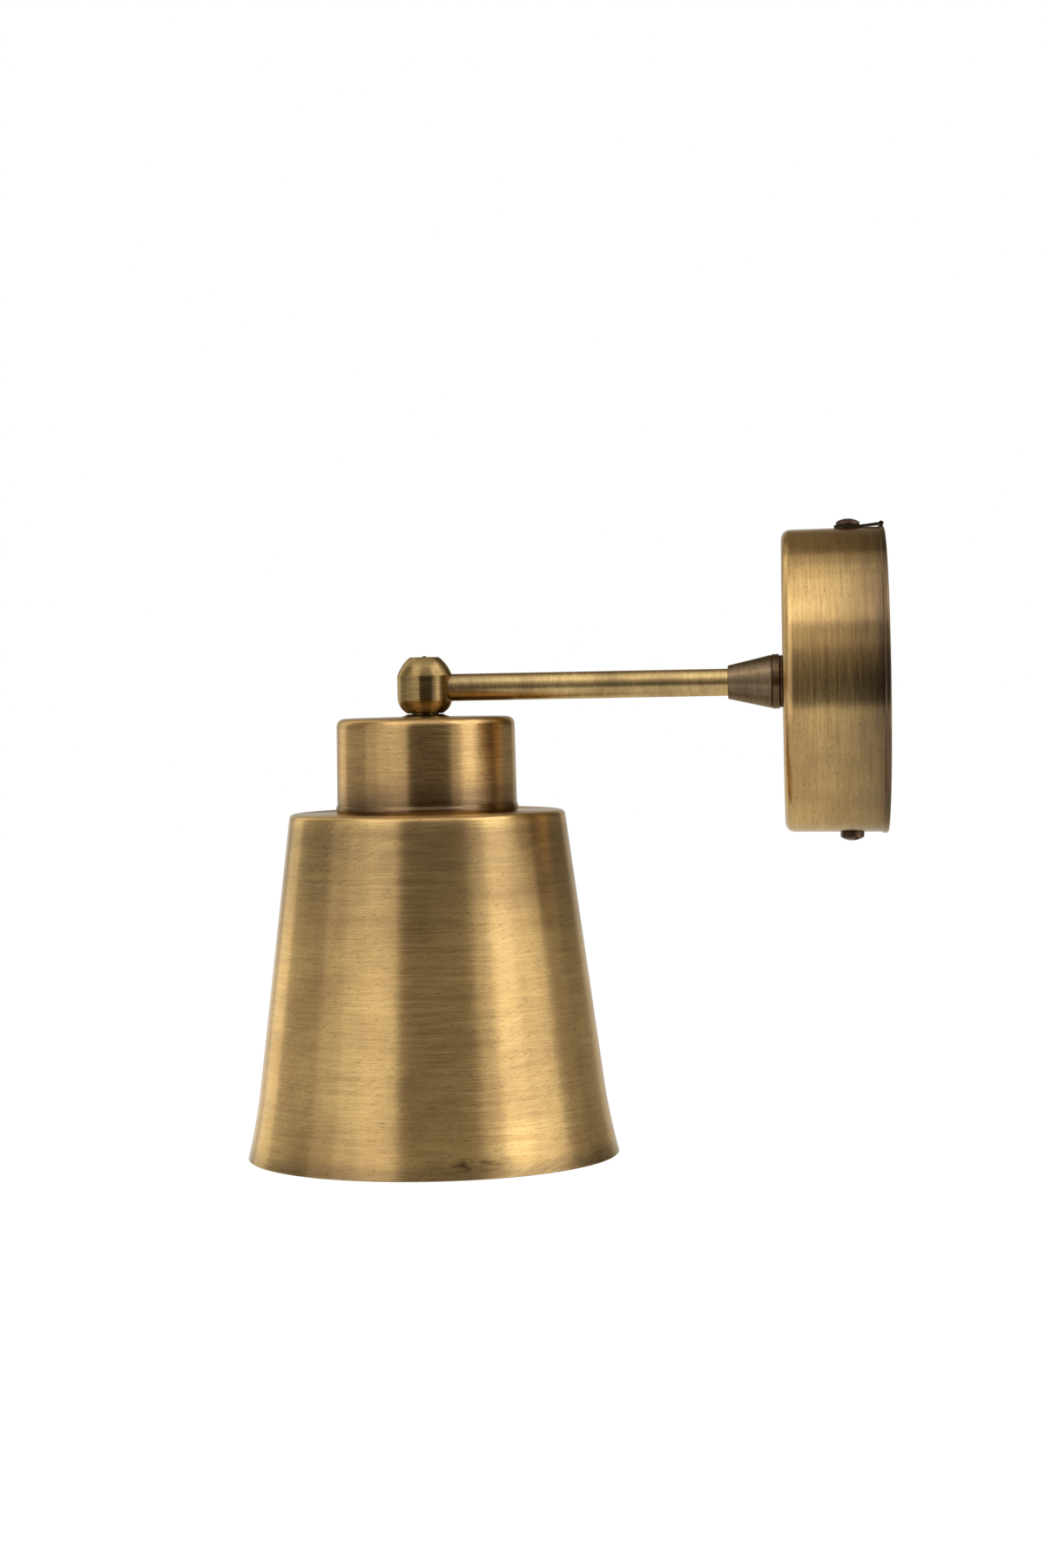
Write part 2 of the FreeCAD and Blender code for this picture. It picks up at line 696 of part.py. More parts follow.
def shade_volume(inset):
    """Full volume of the shade, drawn in by inset on its top and side."""
    straight_high = shade_high - flare_high
    flare_top_r = shade_r(straight_high)
    spread = math.atan(shade_slope)
    chord = Vector(rim_r - flare_top_r, -flare_high, 0)
    lean = math.atan2(chord.x, -chord.y) - spread
    normal = Vector(-math.cos(spread + lean), -math.sin(spread + lean), 0)
    bow = chord.Length / 2 * math.tan(lean / 2)
    aside = Vector(inset, 0, 0)
    flare_top = Vector(flare_top_r, shade_top - straight_high, 0) - aside
    rim = Vector(rim_r, rim_z, 0) - aside
    middle = (flare_top + rim) * 0.5 + normal * bow
    top_z = shade_top - inset
    top_r = shade_top_r - inset
    corner_r = shade_corner - inset
    corner = Vector(top_r, top_z, 0)
    along_wall = (flare_top - corner).normalize()
    tangent = corner_r * math.tan((math.pi / 2 - spread) / 2)
    corner_start = corner - Vector(tangent, 0, 0)
    corner_end = corner + along_wall * tangent
    inward = (Vector(-1, 0, 0) + along_wall).normalize()
    half_angle = Vector(-1, 0, 0).getAngle(along_wall) / 2
    corner_middle = corner + inward * (corner_r / math.sin(half_angle) - corner_r)

    def place(point):
        return drop(point.x, 0, point.y)

    edges = [
        Part.LineSegment(place(Vector(0, top_z, 0)), place(corner_start)).toShape(),
        Part.Arc(place(corner_start), place(corner_middle), place(corner_end)).toShape(),
        Part.LineSegment(place(corner_end), place(flare_top)).toShape(),
        Part.Arc(place(flare_top), place(middle), place(rim)).toShape(),
        Part.LineSegment(place(rim), place(Vector(0, rim_z, 0))).toShape(),
        Part.LineSegment(place(Vector(0, rim_z, 0)), place(Vector(0, top_z, 0))).toShape()]
    return Part.Face(Part.Wire(edges)).revolve(drop(0, 0, 0), Z_AXIS, FULL_TURN)


def shade():
    """Spun shade with a flat shoulder, a straight taper and a flared mouth."""
    sheet = shade_volume(0).cut(shade_volume(shade_wall))
    hole = rod(holder_r + screwed_gap, drop(0, 0, shade_top - shade_wall - 1), drop(0, 0, shade_top + 1))
    return sheet.cut(hole)


def lampholder_dome():
    """Upper half of the lampholder, screwed on the nipple and over the lower half."""
    skirt_bottom = dome_shoulder - dome_skirt
    bore_r = holder_r + screwed_gap
    nipple_hole_r = tube_r + screwed_gap
    slope_r = neck_r + dome_wall
    return turned_on_drop([
        (nipple_hole_r, neck_top), (neck_r, neck_top, dome_wall / 2), (neck_r, neck_base),
        (dome_r, dome_shoulder, dome_wall), (dome_r, skirt_bottom), (bore_r, skirt_bottom),
        (bore_r, holder_top), (holder_upper_bore_r, holder_top), (slope_r, neck_base - dome_wall),
        (nipple_hole_r, neck_base - dome_wall)]).cut(neck_screw_hole())


def neck_screw_hole():
    """Hole for the screw that locks the lampholder on its nipple."""
    middle = (neck_top + neck_base) / 2
    return rod(neck_screw_r(), drop(0, tube_r - 1, middle), drop(0, neck_r + 1, middle))


def neck_screw_r():
    """Radius of the locking screw, held within the neck's height."""
    return min(small_screw_r, neck_high / 2.5)


def neck_screw():
    """Headless screw that locks the lampholder on its nipple."""
    middle = (neck_top + neck_base) / 2
    radius = neck_screw_r() - screwed_gap
    body = rod(radius, drop(0, tube_r, middle), drop(0, neck_r + 1, middle))
    slot_low = drop(-radius, neck_r + 0.3, middle - driver_slot / 4)
    return body.cut(box(slot_low, slot_low + Vector(2 * radius, 1, driver_slot / 2)))


def lampholder_body():
    """Lower half of the lampholder: a stepped sleeve with a flange that rests on the shade."""
    bottom = shade_top - holder_below
    return turned_on_drop([
        (holder_upper_bore_r, holder_top), (holder_r, holder_top), (holder_r, shade_top + flange_thick),
        (flange_r, shade_top + flange_thick), (flange_r, shade_top), (holder_r, shade_top),
        (holder_r, bottom, holder_edge), (holder_lower_bore_r, bottom), (holder_lower_bore_r, shade_top), (holder_upper_bore_r, shade_top)])


def shade_ring():
    """Screwed ring that clamps the shade against the lampholder's flange, with grip ribs."""
    top = shade_top - shade_wall
    bottom = top - ring_thick
    lip = ring_thick / 3
    ring = turned_on_drop([
        (holder_r + screwed_gap, top), (ring_r, top), (ring_r, top - lip), (ring_r - lip, top - lip),
        (ring_r - 2 * lip, bottom), (holder_r + screwed_gap, bottom)])
    for rib in range(ring_rib_count):
        angle = 2 * math.pi * rib / ring_rib_count
        x = ring_r * math.cos(angle)
        y = ring_r * math.sin(angle)
        ring = ring.cut(rod(ring_rib_depth, drop(x, y, top - lip), drop(x, y, top)))
    return ring


def socket_insert():
    """Ceramic insert: a disc for the terminals over a ring that holds the screw shell."""
    disc_r = holder_upper_bore_r - screwed_gap
    ring_outer_r = holder_lower_bore_r - screwed_gap
    shell_outer_r = shell_r + shell_wall + screwed_gap
    return turned_on_drop([
        (0, insert_top), (disc_r, insert_top), (disc_r, shade_top), (ring_outer_r, shade_top),
        (ring_outer_r, shade_top - insert_skirt), (shell_outer_r, shade_top - insert_skirt),
        (shell_outer_r, shade_top - shell_top), (contact_well_r, shade_top - shell_top),
        (contact_well_r, shade_top - contact_well_top), (0, shade_top - contact_well_top)])


def screw_shell():
    """Screw shell of the lampholder, plain at its thread's full bore."""
    top = shade_top - shell_top
    return tube(shell_r + shell_wall, shell_r, drop(0, 0, top), drop(0, 0, top - shell_long))


def centre_contact():
    """Sprung contact strip under the insert."""
    seat = shade_top - contact_well_top
    half = contact_width / 2
    span = contact_well_r * 0.8
    foot = box(drop(-span, -half, seat - contact_thick), drop(-span / 3, half, seat))
    rise = contact_drop - contact_thick
    slope = [drop(-span / 3, -half, seat), drop(half, -half, seat - rise),
             drop(half, -half, seat - contact_drop), drop(-span / 3, -half, seat - contact_thick)]
    tongue = Part.Face(Part.makePolygon(slope + slope[:1])).extrude(Y_AXIS * contact_width)
    return foot.fuse(tongue)


def terminal_angles():
    """Angles of the live, neutral and earth terminals round the lampholder, in radians."""
    return [math.radians(angle) for angle in (0, 120, 240)]


def holder_terminals():
    """Brass terminal posts on the insert, each with a hole for its core and its screw."""
    posts = []
    half = terminal_size / 2
    for angle in terminal_angles():
        low = drop(terminal_ring_r - half, -half, insert_top)
        post = box(low, low + Vector(terminal_size, terminal_size, terminal_high))
        core_seat = drop(terminal_ring_r, 0, insert_top + 1)
        core_hole = rod(core_r, core_seat, drop(terminal_ring_r, 0, terminal_top))
        screw_z = insert_top + terminal_high / 2
        screw_hole = rod(pole_screw_r + screwed_gap, drop(terminal_ring_r, 0, screw_z),
                         drop(terminal_ring_r + half, 0, screw_z))
        post = post.cut(core_hole).cut(screw_hole)
        post.rotate(drop(0, 0, 0), Z_AXIS, math.degrees(angle))
        posts.append(post)
    return Part.makeCompound(posts)


def holder_terminal_screws():
    """Screws in the outer faces of the terminal posts."""
    screws = []
    screw_z = insert_top + terminal_high / 2
    half = terminal_size / 2
    for angle in terminal_angles():
        base = drop(terminal_ring_r + half, 0, screw_z)
        shank = (pole_screw_r, half - core_r)
        screw = slotted_screw((terminal_head_r, pole_screw_r), shank, base, X_AXIS, Z_AXIS)
        screw.rotate(drop(0, 0, 0), Z_AXIS, math.degrees(angle))
        screws.append(screw)
    return Part.makeCompound(screws)


def arm_cable():
    """Sheathed cable through the arm and the rose's nipple."""
    return rod(sheath_r, drop(knuckle_bend, 0, 0), Vector(sheath_stop, 0, 0))


def knuckle_cable():
    """Bend of the cable inside the knuckle."""
    circle = Part.Face(Part.Wire(Part.makeCircle(sheath_r, drop(knuckle_bend, 0, 0), X_AXIS)))
    return circle.revolve(drop(knuckle_bend, 0, -knuckle_bend), Y_AXIS, -90)


def head_cable():
    """Sheathed cable down through the head nipple."""
    return rod(sheath_r, drop(0, 0, -knuckle_bend), drop(0, 0, head_sheath_stop))


def sheath_core_start(x, angle):
    """Start of a core at the sheath's end in the rose, at an angle round the cable."""
    turn = math.radians(angle)
    return Vector(x, core_ring_r * math.cos(turn), core_ring_r * math.sin(turn))


def rose_supply_core(side, angle):
    """Core from the sheath to a pole of the block: below (-1) for live, above (1) for neutral."""
    pole_x = block_back - block_high / 2
    pole_z = side * pole_spacing / 2
    half = block_width / 2
    outside = half + core_clear + 2 * core_r + core_straight
    start = sheath_core_start(sheath_stop, angle)
    ahead = block_front - sheath_stop
    return lead(core_r, [
        start, start + X_AXIS * (ahead * 0.35), Vector(block_front - core_clear, -outside, pole_z),
        Vector(pole_x, -outside, pole_z), Vector(pole_x, -pole_screw_spacing / 2 + pole_screw_r, pole_z)])


def rose_earth_core(angle):
    """Core from the sheath to the tag under the earth screw."""
    end = Vector(-bracket_thick - barrel_r, tag_r + 1 + barrel_long / 3, earth_z)
    start = sheath_core_start(sheath_stop, angle)
    ahead = block_front - sheath_stop
    outside = end.y + barrel_long
    return lead(core_r, [
        start, start + X_AXIS * (ahead * 0.35), Vector(block_front - core_clear, outside, earth_z * 0.6),
        Vector(end.x, outside + core_straight, earth_z), end])


def head_core(angle):
    """Core from the sheath to a terminal post of the lampholder."""
    level = (head_sheath_stop + terminal_top) / 2
    direction = Vector(math.cos(angle), math.sin(angle), 0)
    start = drop(0, 0, head_sheath_stop) + direction * core_ring_r
    over = drop(0, 0, level) + direction * core_ring_r
    above = drop(0, 0, level) + direction * terminal_ring_r
    end = drop(0, 0, insert_top + 1) + direction * terminal_ring_r
    return lead(core_r, [start, over, above, end])


def sub_parts():
    """Every piece by name, from the wall outwards and then down."""
    live, neutral, earth = terminal_angles()
    return {
        "wall_bracket": wall_bracket(),
        "rose_cup": rose_cup(),
        "cover_screw_top": cover_screw(1, strip_thick, slot_turn_top),
        "cover_screw_bottom": cover_screw(-1, cover_washer_thick, slot_turn_bottom),
        "screw_strip": screw_strip(),
        "cover_washer": cover_washer(),
        "terminal_block": terminal_block(),
        "block_screw": block_screw(),
        "pole_tubes": pole_tubes(),
        "pole_screws": pole_screws(),
        "earth_tag": earth_tag(),
        "earth_screw": earth_screw(),
        "lock_washer": lock_washer(),
        "rose_locknut": rose_locknut(),
        "rose_nipple": rose_nipple(),
        "cone_washer": cone_washer(),
        "arm_cone": arm_cone(),
        "arm_tube": arm_tube(),
        "arm_cable": arm_cable(),
        "rose_live_core": rose_supply_core(-1, 225),
        "rose_neutral_core": rose_supply_core(1, 105),
        "rose_earth_core": rose_earth_core(345),
        "knuckle": knuckle(),
        "knuckle_screws": knuckle_screws(),
        "knuckle_cable": knuckle_cable(),
        "neck_collar": neck_collar(),
        "head_nipple": head_nipple(),
        "cap_locknut": cap_locknut(),
        "shade_cap": shade_cap(),
        "shade": shade(),
        "lampholder_dome": lampholder_dome(),
        "neck_screw": neck_screw(),
        "lampholder_body": lampholder_body(),
        "shade_ring": shade_ring(),
        "socket_insert": socket_insert(),
        "screw_shell": screw_shell(),
        "centre_contact": centre_contact(),
        "holder_terminals": holder_terminals(),
        "holder_terminal_screws": holder_terminal_screws(),
        "head_cable": head_cable(),
        "head_live_core": head_core(live),
        "head_neutral_core": head_core(neutral),
        "head_earth_core": head_core(earth),
    }


def main():
    """Write one file per piece."""
    os.makedirs("parts", exist_ok=True)
    for name, shape in sub_parts().items():
        shape.exportStep("parts/" + name + ".step")
        span = shape.BoundBox
        sides = (span.XMin, span.XMax, span.YMin, span.YMax, span.ZMin, span.ZMax)
        print(name, len(shape.Solids), "solid(s)", shape.isValid(), [round(side, 2) for side in sides])


main()
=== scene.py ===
import json
import math

import bmesh
import bpy
from mathutils import Matrix, Vector


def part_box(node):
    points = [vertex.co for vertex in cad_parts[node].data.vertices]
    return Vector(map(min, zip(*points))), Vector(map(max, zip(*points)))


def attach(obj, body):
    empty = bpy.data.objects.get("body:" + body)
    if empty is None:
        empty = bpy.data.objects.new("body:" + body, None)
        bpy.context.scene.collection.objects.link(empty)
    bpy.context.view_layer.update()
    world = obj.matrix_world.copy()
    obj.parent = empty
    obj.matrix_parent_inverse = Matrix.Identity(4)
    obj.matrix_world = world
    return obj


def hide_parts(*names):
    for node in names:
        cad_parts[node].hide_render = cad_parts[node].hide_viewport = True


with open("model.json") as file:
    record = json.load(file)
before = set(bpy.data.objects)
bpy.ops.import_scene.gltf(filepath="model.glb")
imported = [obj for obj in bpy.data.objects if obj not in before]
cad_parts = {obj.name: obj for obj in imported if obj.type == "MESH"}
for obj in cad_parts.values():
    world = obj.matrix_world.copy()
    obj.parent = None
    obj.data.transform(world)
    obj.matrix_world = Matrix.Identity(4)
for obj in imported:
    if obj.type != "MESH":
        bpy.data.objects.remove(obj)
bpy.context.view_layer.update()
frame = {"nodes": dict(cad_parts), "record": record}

MM = 0.001
ORIGIN = (0, 0, 0)
X_AXIS = (1, 0, 0)
Z_AXIS = (0, 0, 1)


# Places read from the solids

def middle(node):
    """Middle of a node's box, in millimetres."""
    low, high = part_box(node)
    return (low + high) / 2 / MM


def low_end(node):
    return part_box(node)[0] / MM


def high_end(node):
    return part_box(node)[1] / MM


DROP_X = middle("neck_collar").x         # vertical axis of the knuckle and the shade
DROP = (DROP_X, 0, 0)


# Materials

def linear(colour):
    """An sRGB hex value as linear red, green, blue and alpha."""
    shares = [int(colour[i:i + 2], 16) / 255 for i in (1, 3, 5)]
    return [c / 12.92 if c <= 0.04045 else ((c + 0.055) / 1.055) ** 2.4 for c in shares] + [1.0]


def add(tree, kind, inputs=None, **settings):
    """Adds a node. An input is a number, a colour or the output of another node."""
    made = tree.nodes.new(kind)
    for name, value in settings.items():
        setattr(made, name, value)
    for key, value in (inputs or {}).items():
        if isinstance(value, bpy.types.NodeSocket):
            tree.links.new(value, made.inputs[key])
        else:
            made.inputs[key].default_value = value
    return made


# Sockets of a node that mixes: it has one set for numbers and one for colours
NUMBER_A, NUMBER_B, NUMBER_OUT = 2, 3, 0
COLOUR_A, COLOUR_B, COLOUR_OUT = 6, 7, 2


def material(name):
    """An empty material and its node tree."""
    made = bpy.data.materials.new(name)
    made.use_nodes = True
    made.node_tree.nodes.clear()
    return made, made.node_tree


def close(tree, **inputs):
    """Ends a material in a Principled shader with these inputs."""
    named = {key.replace("_", " "): value for key, value in inputs.items()}
    shader = add(tree, "ShaderNodeBsdfPrincipled", named)
    add(tree, "ShaderNodeOutputMaterial", {"Surface": shader.outputs[0]})


def turning_space(tree, axis, centre, facing):
    """Place in millimetres from the turning axis: across, across, and the way along the profile.

    The third number grows outwards over a face that looks along facing, and on down the wall.
    """
    turn = (0, -math.pi / 2, 0) if axis == X_AXIS else (0, 0, 0)
    x, y, z = centre
    shift = (z, -y, -x) if axis == X_AXIS else (-x, -y, -z)
    coords = add(tree, "ShaderNodeTexCoord")
    placed = add(tree, "ShaderNodeMapping", {
        "Vector": coords.outputs["Object"], "Location": shift, "Rotation": turn, "Scale": (1 / MM,) * 3})
    parts = add(tree, "ShaderNodeSeparateXYZ", {0: placed.outputs[0]})
    flat = add(tree, "ShaderNodeCombineXYZ", {0: parts.outputs[0], 1: parts.outputs[1]})
    radius = add(tree, "ShaderNodeVectorMath", {0: flat.outputs[0]}, operation="LENGTH")
    along = add(tree, "ShaderNodeMath", {
        0: parts.outputs[2], 1: -facing, 2: radius.outputs["Value"]}, operation="MULTIPLY_ADD")
    space = add(tree, "ShaderNodeCombineXYZ", {
        0: parts.outputs[0], 1: parts.outputs[1], 2: along.outputs[0]})
    return space.outputs[0], along.outputs[0], placed.outputs[0]


def place_on(tree):
    """Place on the piece, in millimetres."""
    coords = add(tree, "ShaderNodeTexCoord")
    place = add(tree, "ShaderNodeVectorMath", {
        0: coords.outputs["Object"], 1: (1 / MM,) * 3}, operation="MULTIPLY")
    return place.outputs[0]


def marks(tree, space, long, pitch, low, high, detail=3.0, least=0.0):
    """Streaks of a given length and pitch, in millimetres, as a share from least to 1."""
    stretched = add(tree, "ShaderNodeVectorMath", {
        0: space, 1: (1 / long, 1 / long, 1 / pitch)}, operation="MULTIPLY")
    noise = add(tree, "ShaderNodeTexNoise", {
        "Vector": stretched.outputs[0], "Scale": 1.0, "Detail": detail, "Roughness": 0.6})
    share = add(tree, "ShaderNodeMapRange", {
        "Value": noise.outputs[0], "From Min": low, "From Max": high, "To Min": least})
    return share.outputs[0]


def layered(tree, tone, *layers):
    """Lays colours over a tone. A layer is (share, cover at share 0, cover at share 1, colour)."""
    for share, least, most, colour in layers:
        cover = add(tree, "ShaderNodeMapRange", {"Value": share, "To Min": least, "To Max": most})
        laid = add(tree, "ShaderNodeMix", {0: cover.outputs[0], COLOUR_A: tone, COLOUR_B: colour},
                   data_type="RGBA")
        tone = laid.outputs[COLOUR_OUT]
    return tone


# Antique brass: sheet or bar of brass, brushed in the lathe, browned in a bath and rubbed back.
# The brush leaves fine lines round the axis, which stretch every reflection along the profile,
# and the brown stays in the lines, in short dark flecks and in soft clouds. Bands of brown
# towards some edges are real browning in some places and painted shade in others.
# The lines lie about 0.4 mm apart, which is a little more than a pixel of the photograph.
# Tones: rubbed bright, as brushed, browned
RUBBED_BRASS = ("#DBBC7C", "#C3A067", "#896849")       # shade and rose
DULLED_BRASS = ("#CDAC72", "#B38F5D", "#785B40")       # cap
TUBE_BRASS = ("#E6C98A", "#C8A972", "#725E44")         # arm
BROWNED_BRASS = ("#B0955F", "#86704A", "#483A29")      # knuckle and collar
DARK_BRASS = ("#87735A", "#6D5B44", "#423528")         # cone and strip
FLECK_BROWN = "#3F2E1C"
STAIN_AND_SHADE_BROWN = "#4F4136"                   # in bands: browning left by the bath, and in some bands painted shade
GRAZING_TINT = "#F0E6D2"                 # brass keeps some yellow where it is seen at a low angle
LINE_DEPTH = 0.02                        # of a brush line, before the bump's strength
SCRATCH_SLANT = 0.55                     # rise of the hand scratches along the profile
PLASTIC_IOR = 1.5                        # also near enough for glaze


def stain_and_shade_band(tree, space, along, streak, line, start, full, end, amount):
    """Share of a brown band along the profile: none at start, all of amount at full, none at end. A band is
    real stain in some places and painted shade in others.
    """
    rise = add(tree, "ShaderNodeMapRange", {
        "Value": along, "From Min": start, "From Max": full, "To Max": amount},
        interpolation_type="SMOOTHSTEP")
    fall = add(tree, "ShaderNodeMapRange", {
        "Value": along, "From Min": end, "From Max": full}, interpolation_type="SMOOTHSTEP")
    both = add(tree, "ShaderNodeMath", {0: rise.outputs[0], 1: fall.outputs[0]}, operation="MULTIPLY")
    uneven = marks(tree, space, streak * 3, line * 12, 0.3, 0.7, least=0.6)
    share = add(tree, "ShaderNodeMath", {0: both.outputs[0], 1: uneven}, operation="MULTIPLY")
    return share.outputs[0]


def hand_scratches(tree, space, along, place):
    """Share of slanted scratches, in patches."""
    parts = add(tree, "ShaderNodeSeparateXYZ", {0: space})
    slant = add(tree, "ShaderNodeMath", {
        0: parts.outputs[0], 1: SCRATCH_SLANT, 2: along}, operation="MULTIPLY_ADD")
    across = add(tree, "ShaderNodeCombineXYZ", {
        0: parts.outputs[0], 1: parts.outputs[1], 2: slant.outputs[0]})
    scratches = marks(tree, across.outputs[0], 9.0, 0.4, 0.52, 0.75)
    patches = marks(tree, place, 30.0, 30.0, 0.45, 0.6, detail=1.0)
    share = add(tree, "ShaderNodeMath", {0: scratches, 1: patches}, operation="MULTIPLY")
    return share.outputs[0]


def smudge_at(tree, space, place, spot, wide, high, amount):
    """Share of a streaky smudge around a spot, with its half width and half height."""
    away = add(tree, "ShaderNodeVectorMath", {0: place, 1: spot}, operation="SUBTRACT")
    away = add(tree, "ShaderNodeVectorMath", {
        0: away.outputs[0], 1: (1 / wide, 1 / wide, 1 / high)}, operation="MULTIPLY")
    away = add(tree, "ShaderNodeVectorMath", {0: away.outputs[0]}, operation="LENGTH")
    near = add(tree, "ShaderNodeMapRange", {
        "Value": away.outputs["Value"], "From Min": 1.0, "From Max": 0.2, "To Max": amount})
    streaks = marks(tree, space, 5.0, 1.6, 0.35, 0.65)
    share = add(tree, "ShaderNodeMath", {0: near.outputs[0], 1: streaks}, operation="MULTIPLY")
    return share.outputs[0]


def antique_brass(name, axis, centre, facing, tones=RUBBED_BRASS, brown=0.35, rough=0.24, line=0.42,
                  streak=16.0, cloud=24.0, bands=(), flecks=0.3, anisotropic=0.84, scuffs=0.0,
                  smudge=None):
    """Brass brushed round an axis, in lines of a length (streak) and pitch (line) in millimetres.

    Each band (start, full, end, amount) darkens the brass along the profile: real browning in
    some bands, painted shade in others. Scuffs are slanted scratches. A smudge is (place, half
    width, half height, amount).
    """
    made, tree = material(name)
    space, along, place = turning_space(tree, axis, centre, facing)
    light, brushed, browned = (linear(tone) for tone in tones)
    fine = marks(tree, space, streak, line, 0.3, 0.7)
    broad = marks(tree, space, streak * 4, line * 6, 0.3, 0.7)
    clouds = marks(tree, place, cloud, cloud, 0.4, 0.68)
    dashes = marks(tree, space, 1.7, 0.36, 0.63, 0.75, detail=0.0)
    tone = layered(tree, brushed, (broad, 0.2, 0.8, light), (fine, 0.5, 0.0, browned),
                   (clouds, 0.0, brown, browned), (dashes, 0.0, flecks, linear(FLECK_BROWN)))
    for band in bands:
        band_cover = stain_and_shade_band(tree, space, along, streak, line, *band)
        # brown band: real browning in some bands, painted shade in others
        tone = layered(tree, tone, (band_cover, 0.0, 1.0, linear(STAIN_AND_SHADE_BROWN)))
    if scuffs:
        tone = layered(tree, tone, (hand_scratches(tree, space, along, place), 0.0, scuffs, light))
    if smudge:
        tone = layered(tree, tone, (smudge_at(tree, space, place, *smudge), 0.0, 1.0, linear(FLECK_BROWN)))
    height = add(tree, "ShaderNodeMath", {0: dashes, 1: -0.6, 2: fine}, operation="MULTIPLY_ADD")
    bump = add(tree, "ShaderNodeBump", {
        "Height": height.outputs[0], "Strength": 0.3, "Distance": LINE_DEPTH * MM})
    tangent = add(tree, "ShaderNodeTangent", direction_type="RADIAL", axis="X" if axis == X_AXIS else "Z")
    dull = add(tree, "ShaderNodeMapRange", {"Value": fine, "To Min": rough, "To Max": rough + 0.06})
    close(tree, Base_Color=tone, Metallic=1.0, Specular_Tint=linear(GRAZING_TINT),
          Roughness=dull.outputs[0], Anisotropic=anisotropic, Anisotropic_Rotation=0.25,
          Tangent=tangent.outputs[0], Normal=bump.outputs[0])
    return made


def plain_metal(name, tint, shade, rough, grain=0.6, depth=0.01):
    """A small metal part: tint with blotches of shade, and a fine grain in millimetres."""
    made, tree = material(name)
    place = place_on(tree)
    blotches = marks(tree, place, 3.0, 3.0, 0.35, 0.7)
    grit = marks(tree, place, grain, grain, 0.3, 0.7)
    dull = add(tree, "ShaderNodeMapRange", {"Value": grit, "To Min": rough, "To Max": rough + 0.12})
    bump = add(tree, "ShaderNodeBump", {"Height": grit, "Strength": 0.4, "Distance": depth * MM})
    close(tree, Base_Color=layered(tree, linear(tint), (blotches, 0.0, 1.0, linear(shade))),
          Metallic=1.0, Roughness=dull.outputs[0], Normal=bump.outputs[0])
    return made


def moulded(name, tint, shade, rough, grain=0.5, depth=0.01):
    """A moulded or glazed part: tint with a little of shade, and a fine surface grain."""
    made, tree = material(name)
    place = place_on(tree)
    flow = marks(tree, place, 9.0, 9.0, 0.3, 0.75)
    grit = marks(tree, place, grain, grain, 0.3, 0.7)
    dull = add(tree, "ShaderNodeMapRange", {"Value": grit, "To Min": rough, "To Max": rough + 0.1})
    bump = add(tree, "ShaderNodeBump", {"Height": grit, "Strength": 0.5, "Distance": depth * MM})
    close(tree, Base_Color=layered(tree, linear(tint), (flow, 0.0, 1.0, linear(shade))),
          IOR=PLASTIC_IOR, Roughness=dull.outputs[0], Normal=bump.outputs[0])
    return made


def striped_core(name, first, second, rough=0.38):
    """Earth core: green sheath with a yellow stripe along it, on opposite sides."""
    made, tree = material(name)
    place = place_on(tree)
    bands = add(tree, "ShaderNodeTexWave", {
        "Vector": place, "Scale": 0.16, "Distortion": 0.6, "Detail": 0.0}, bands_direction="DIAGONAL")
    stripe = add(tree, "ShaderNodeMapRange", {
        "Value": bands.outputs["Fac"], "From Min": 0.47, "From Max": 0.53})
    grit = marks(tree, place, 0.5, 0.5, 0.3, 0.7)
    dull = add(tree, "ShaderNodeMapRange", {"Value": grit, "To Min": rough, "To Max": rough + 0.1})
    bump = add(tree, "ShaderNodeBump", {"Height": grit, "Strength": 0.3, "Distance": 0.01 * MM})
    close(tree, Base_Color=layered(tree, linear(first), (stripe.outputs[0], 0.0, 1.0, linear(second))),
          IOR=PLASTIC_IOR, Roughness=dull.outputs[0], Normal=bump.outputs[0])
    return made


# Under the shoulder the shade's band is browning with painted shade added to darken the top; the band at the
# rim is browning.
SHADE_BRASS = antique_brass("Spun brass brushed and browned shade", Z_AXIS, DROP, 1,
                            bands=((168, 104, 96.5, 0.52), (232, 241, 250, 0.6)), scuffs=0.6, rough=0.27,
                            anisotropic=0.95, smudge=((20, -62, -168), 19, 3.5, 0.8))
# The cap's band darkens it towards its foot.
CAP_BRASS = antique_brass("Spun brass brushed and browned cap", Z_AXIS, DROP, 1, DULLED_BRASS, brown=0.42,
                          bands=((62, 77, 90, 0.85),))
# The rose's bands darken it towards the wall, darkest at the hem.
ROSE_BRASS = antique_brass("Spun brass brushed and browned rose", X_AXIS, ORIGIN, -1,
                           bands=((25, 58, 90, 0.93), (50, 55, 90, 0.85)))
# The arm's band by the knuckle is painted shade.
ARM_BRASS = antique_brass("Drawn brass tube polished and browned", X_AXIS, ORIGIN, -1, TUBE_BRASS, streak=3.0,
                          line=0.34, rough=0.3, anisotropic=0.3, flecks=0.0, brown=0.6,
                          bands=((-176, -158, -122, 0.65),))
CONE_BRASS = antique_brass("Turned brass browned dark", X_AXIS, ORIGIN, -1, DARK_BRASS, streak=4.0, brown=0.7,
                           rough=0.26, anisotropic=0.6, flecks=0.15)
KNUCKLE_BRASS = antique_brass("Turned brass brushed knuckle", Z_AXIS, DROP, 1, BROWNED_BRASS, streak=6.0,
                              rough=0.22, flecks=0.15)

# Small metal parts: cut brass is bright, oiled steel brown, plated steel pale and slightly
# crystalline, and tin on copper soft and grey
THREAD_BRASS = plain_metal("Brass tube with a cut thread", "#C9A35C", "#A9854A", 0.3)
BROWNED_STEEL = plain_metal("Screw steel browned in oil", "#66503F", "#3A2C22", 0.36)
ZINC = plain_metal("Pressed steel plated with zinc", "#C3C6C8", "#A3A6A6", 0.34, grain=1.1)
BARE_BRASS = plain_metal("Contact brass left bare", "#DDBB6E", "#C39C52", 0.26)
TINNED = plain_metal("Copper tag dipped in tin", "#C9CBCB", "#B1B0AA", 0.3)

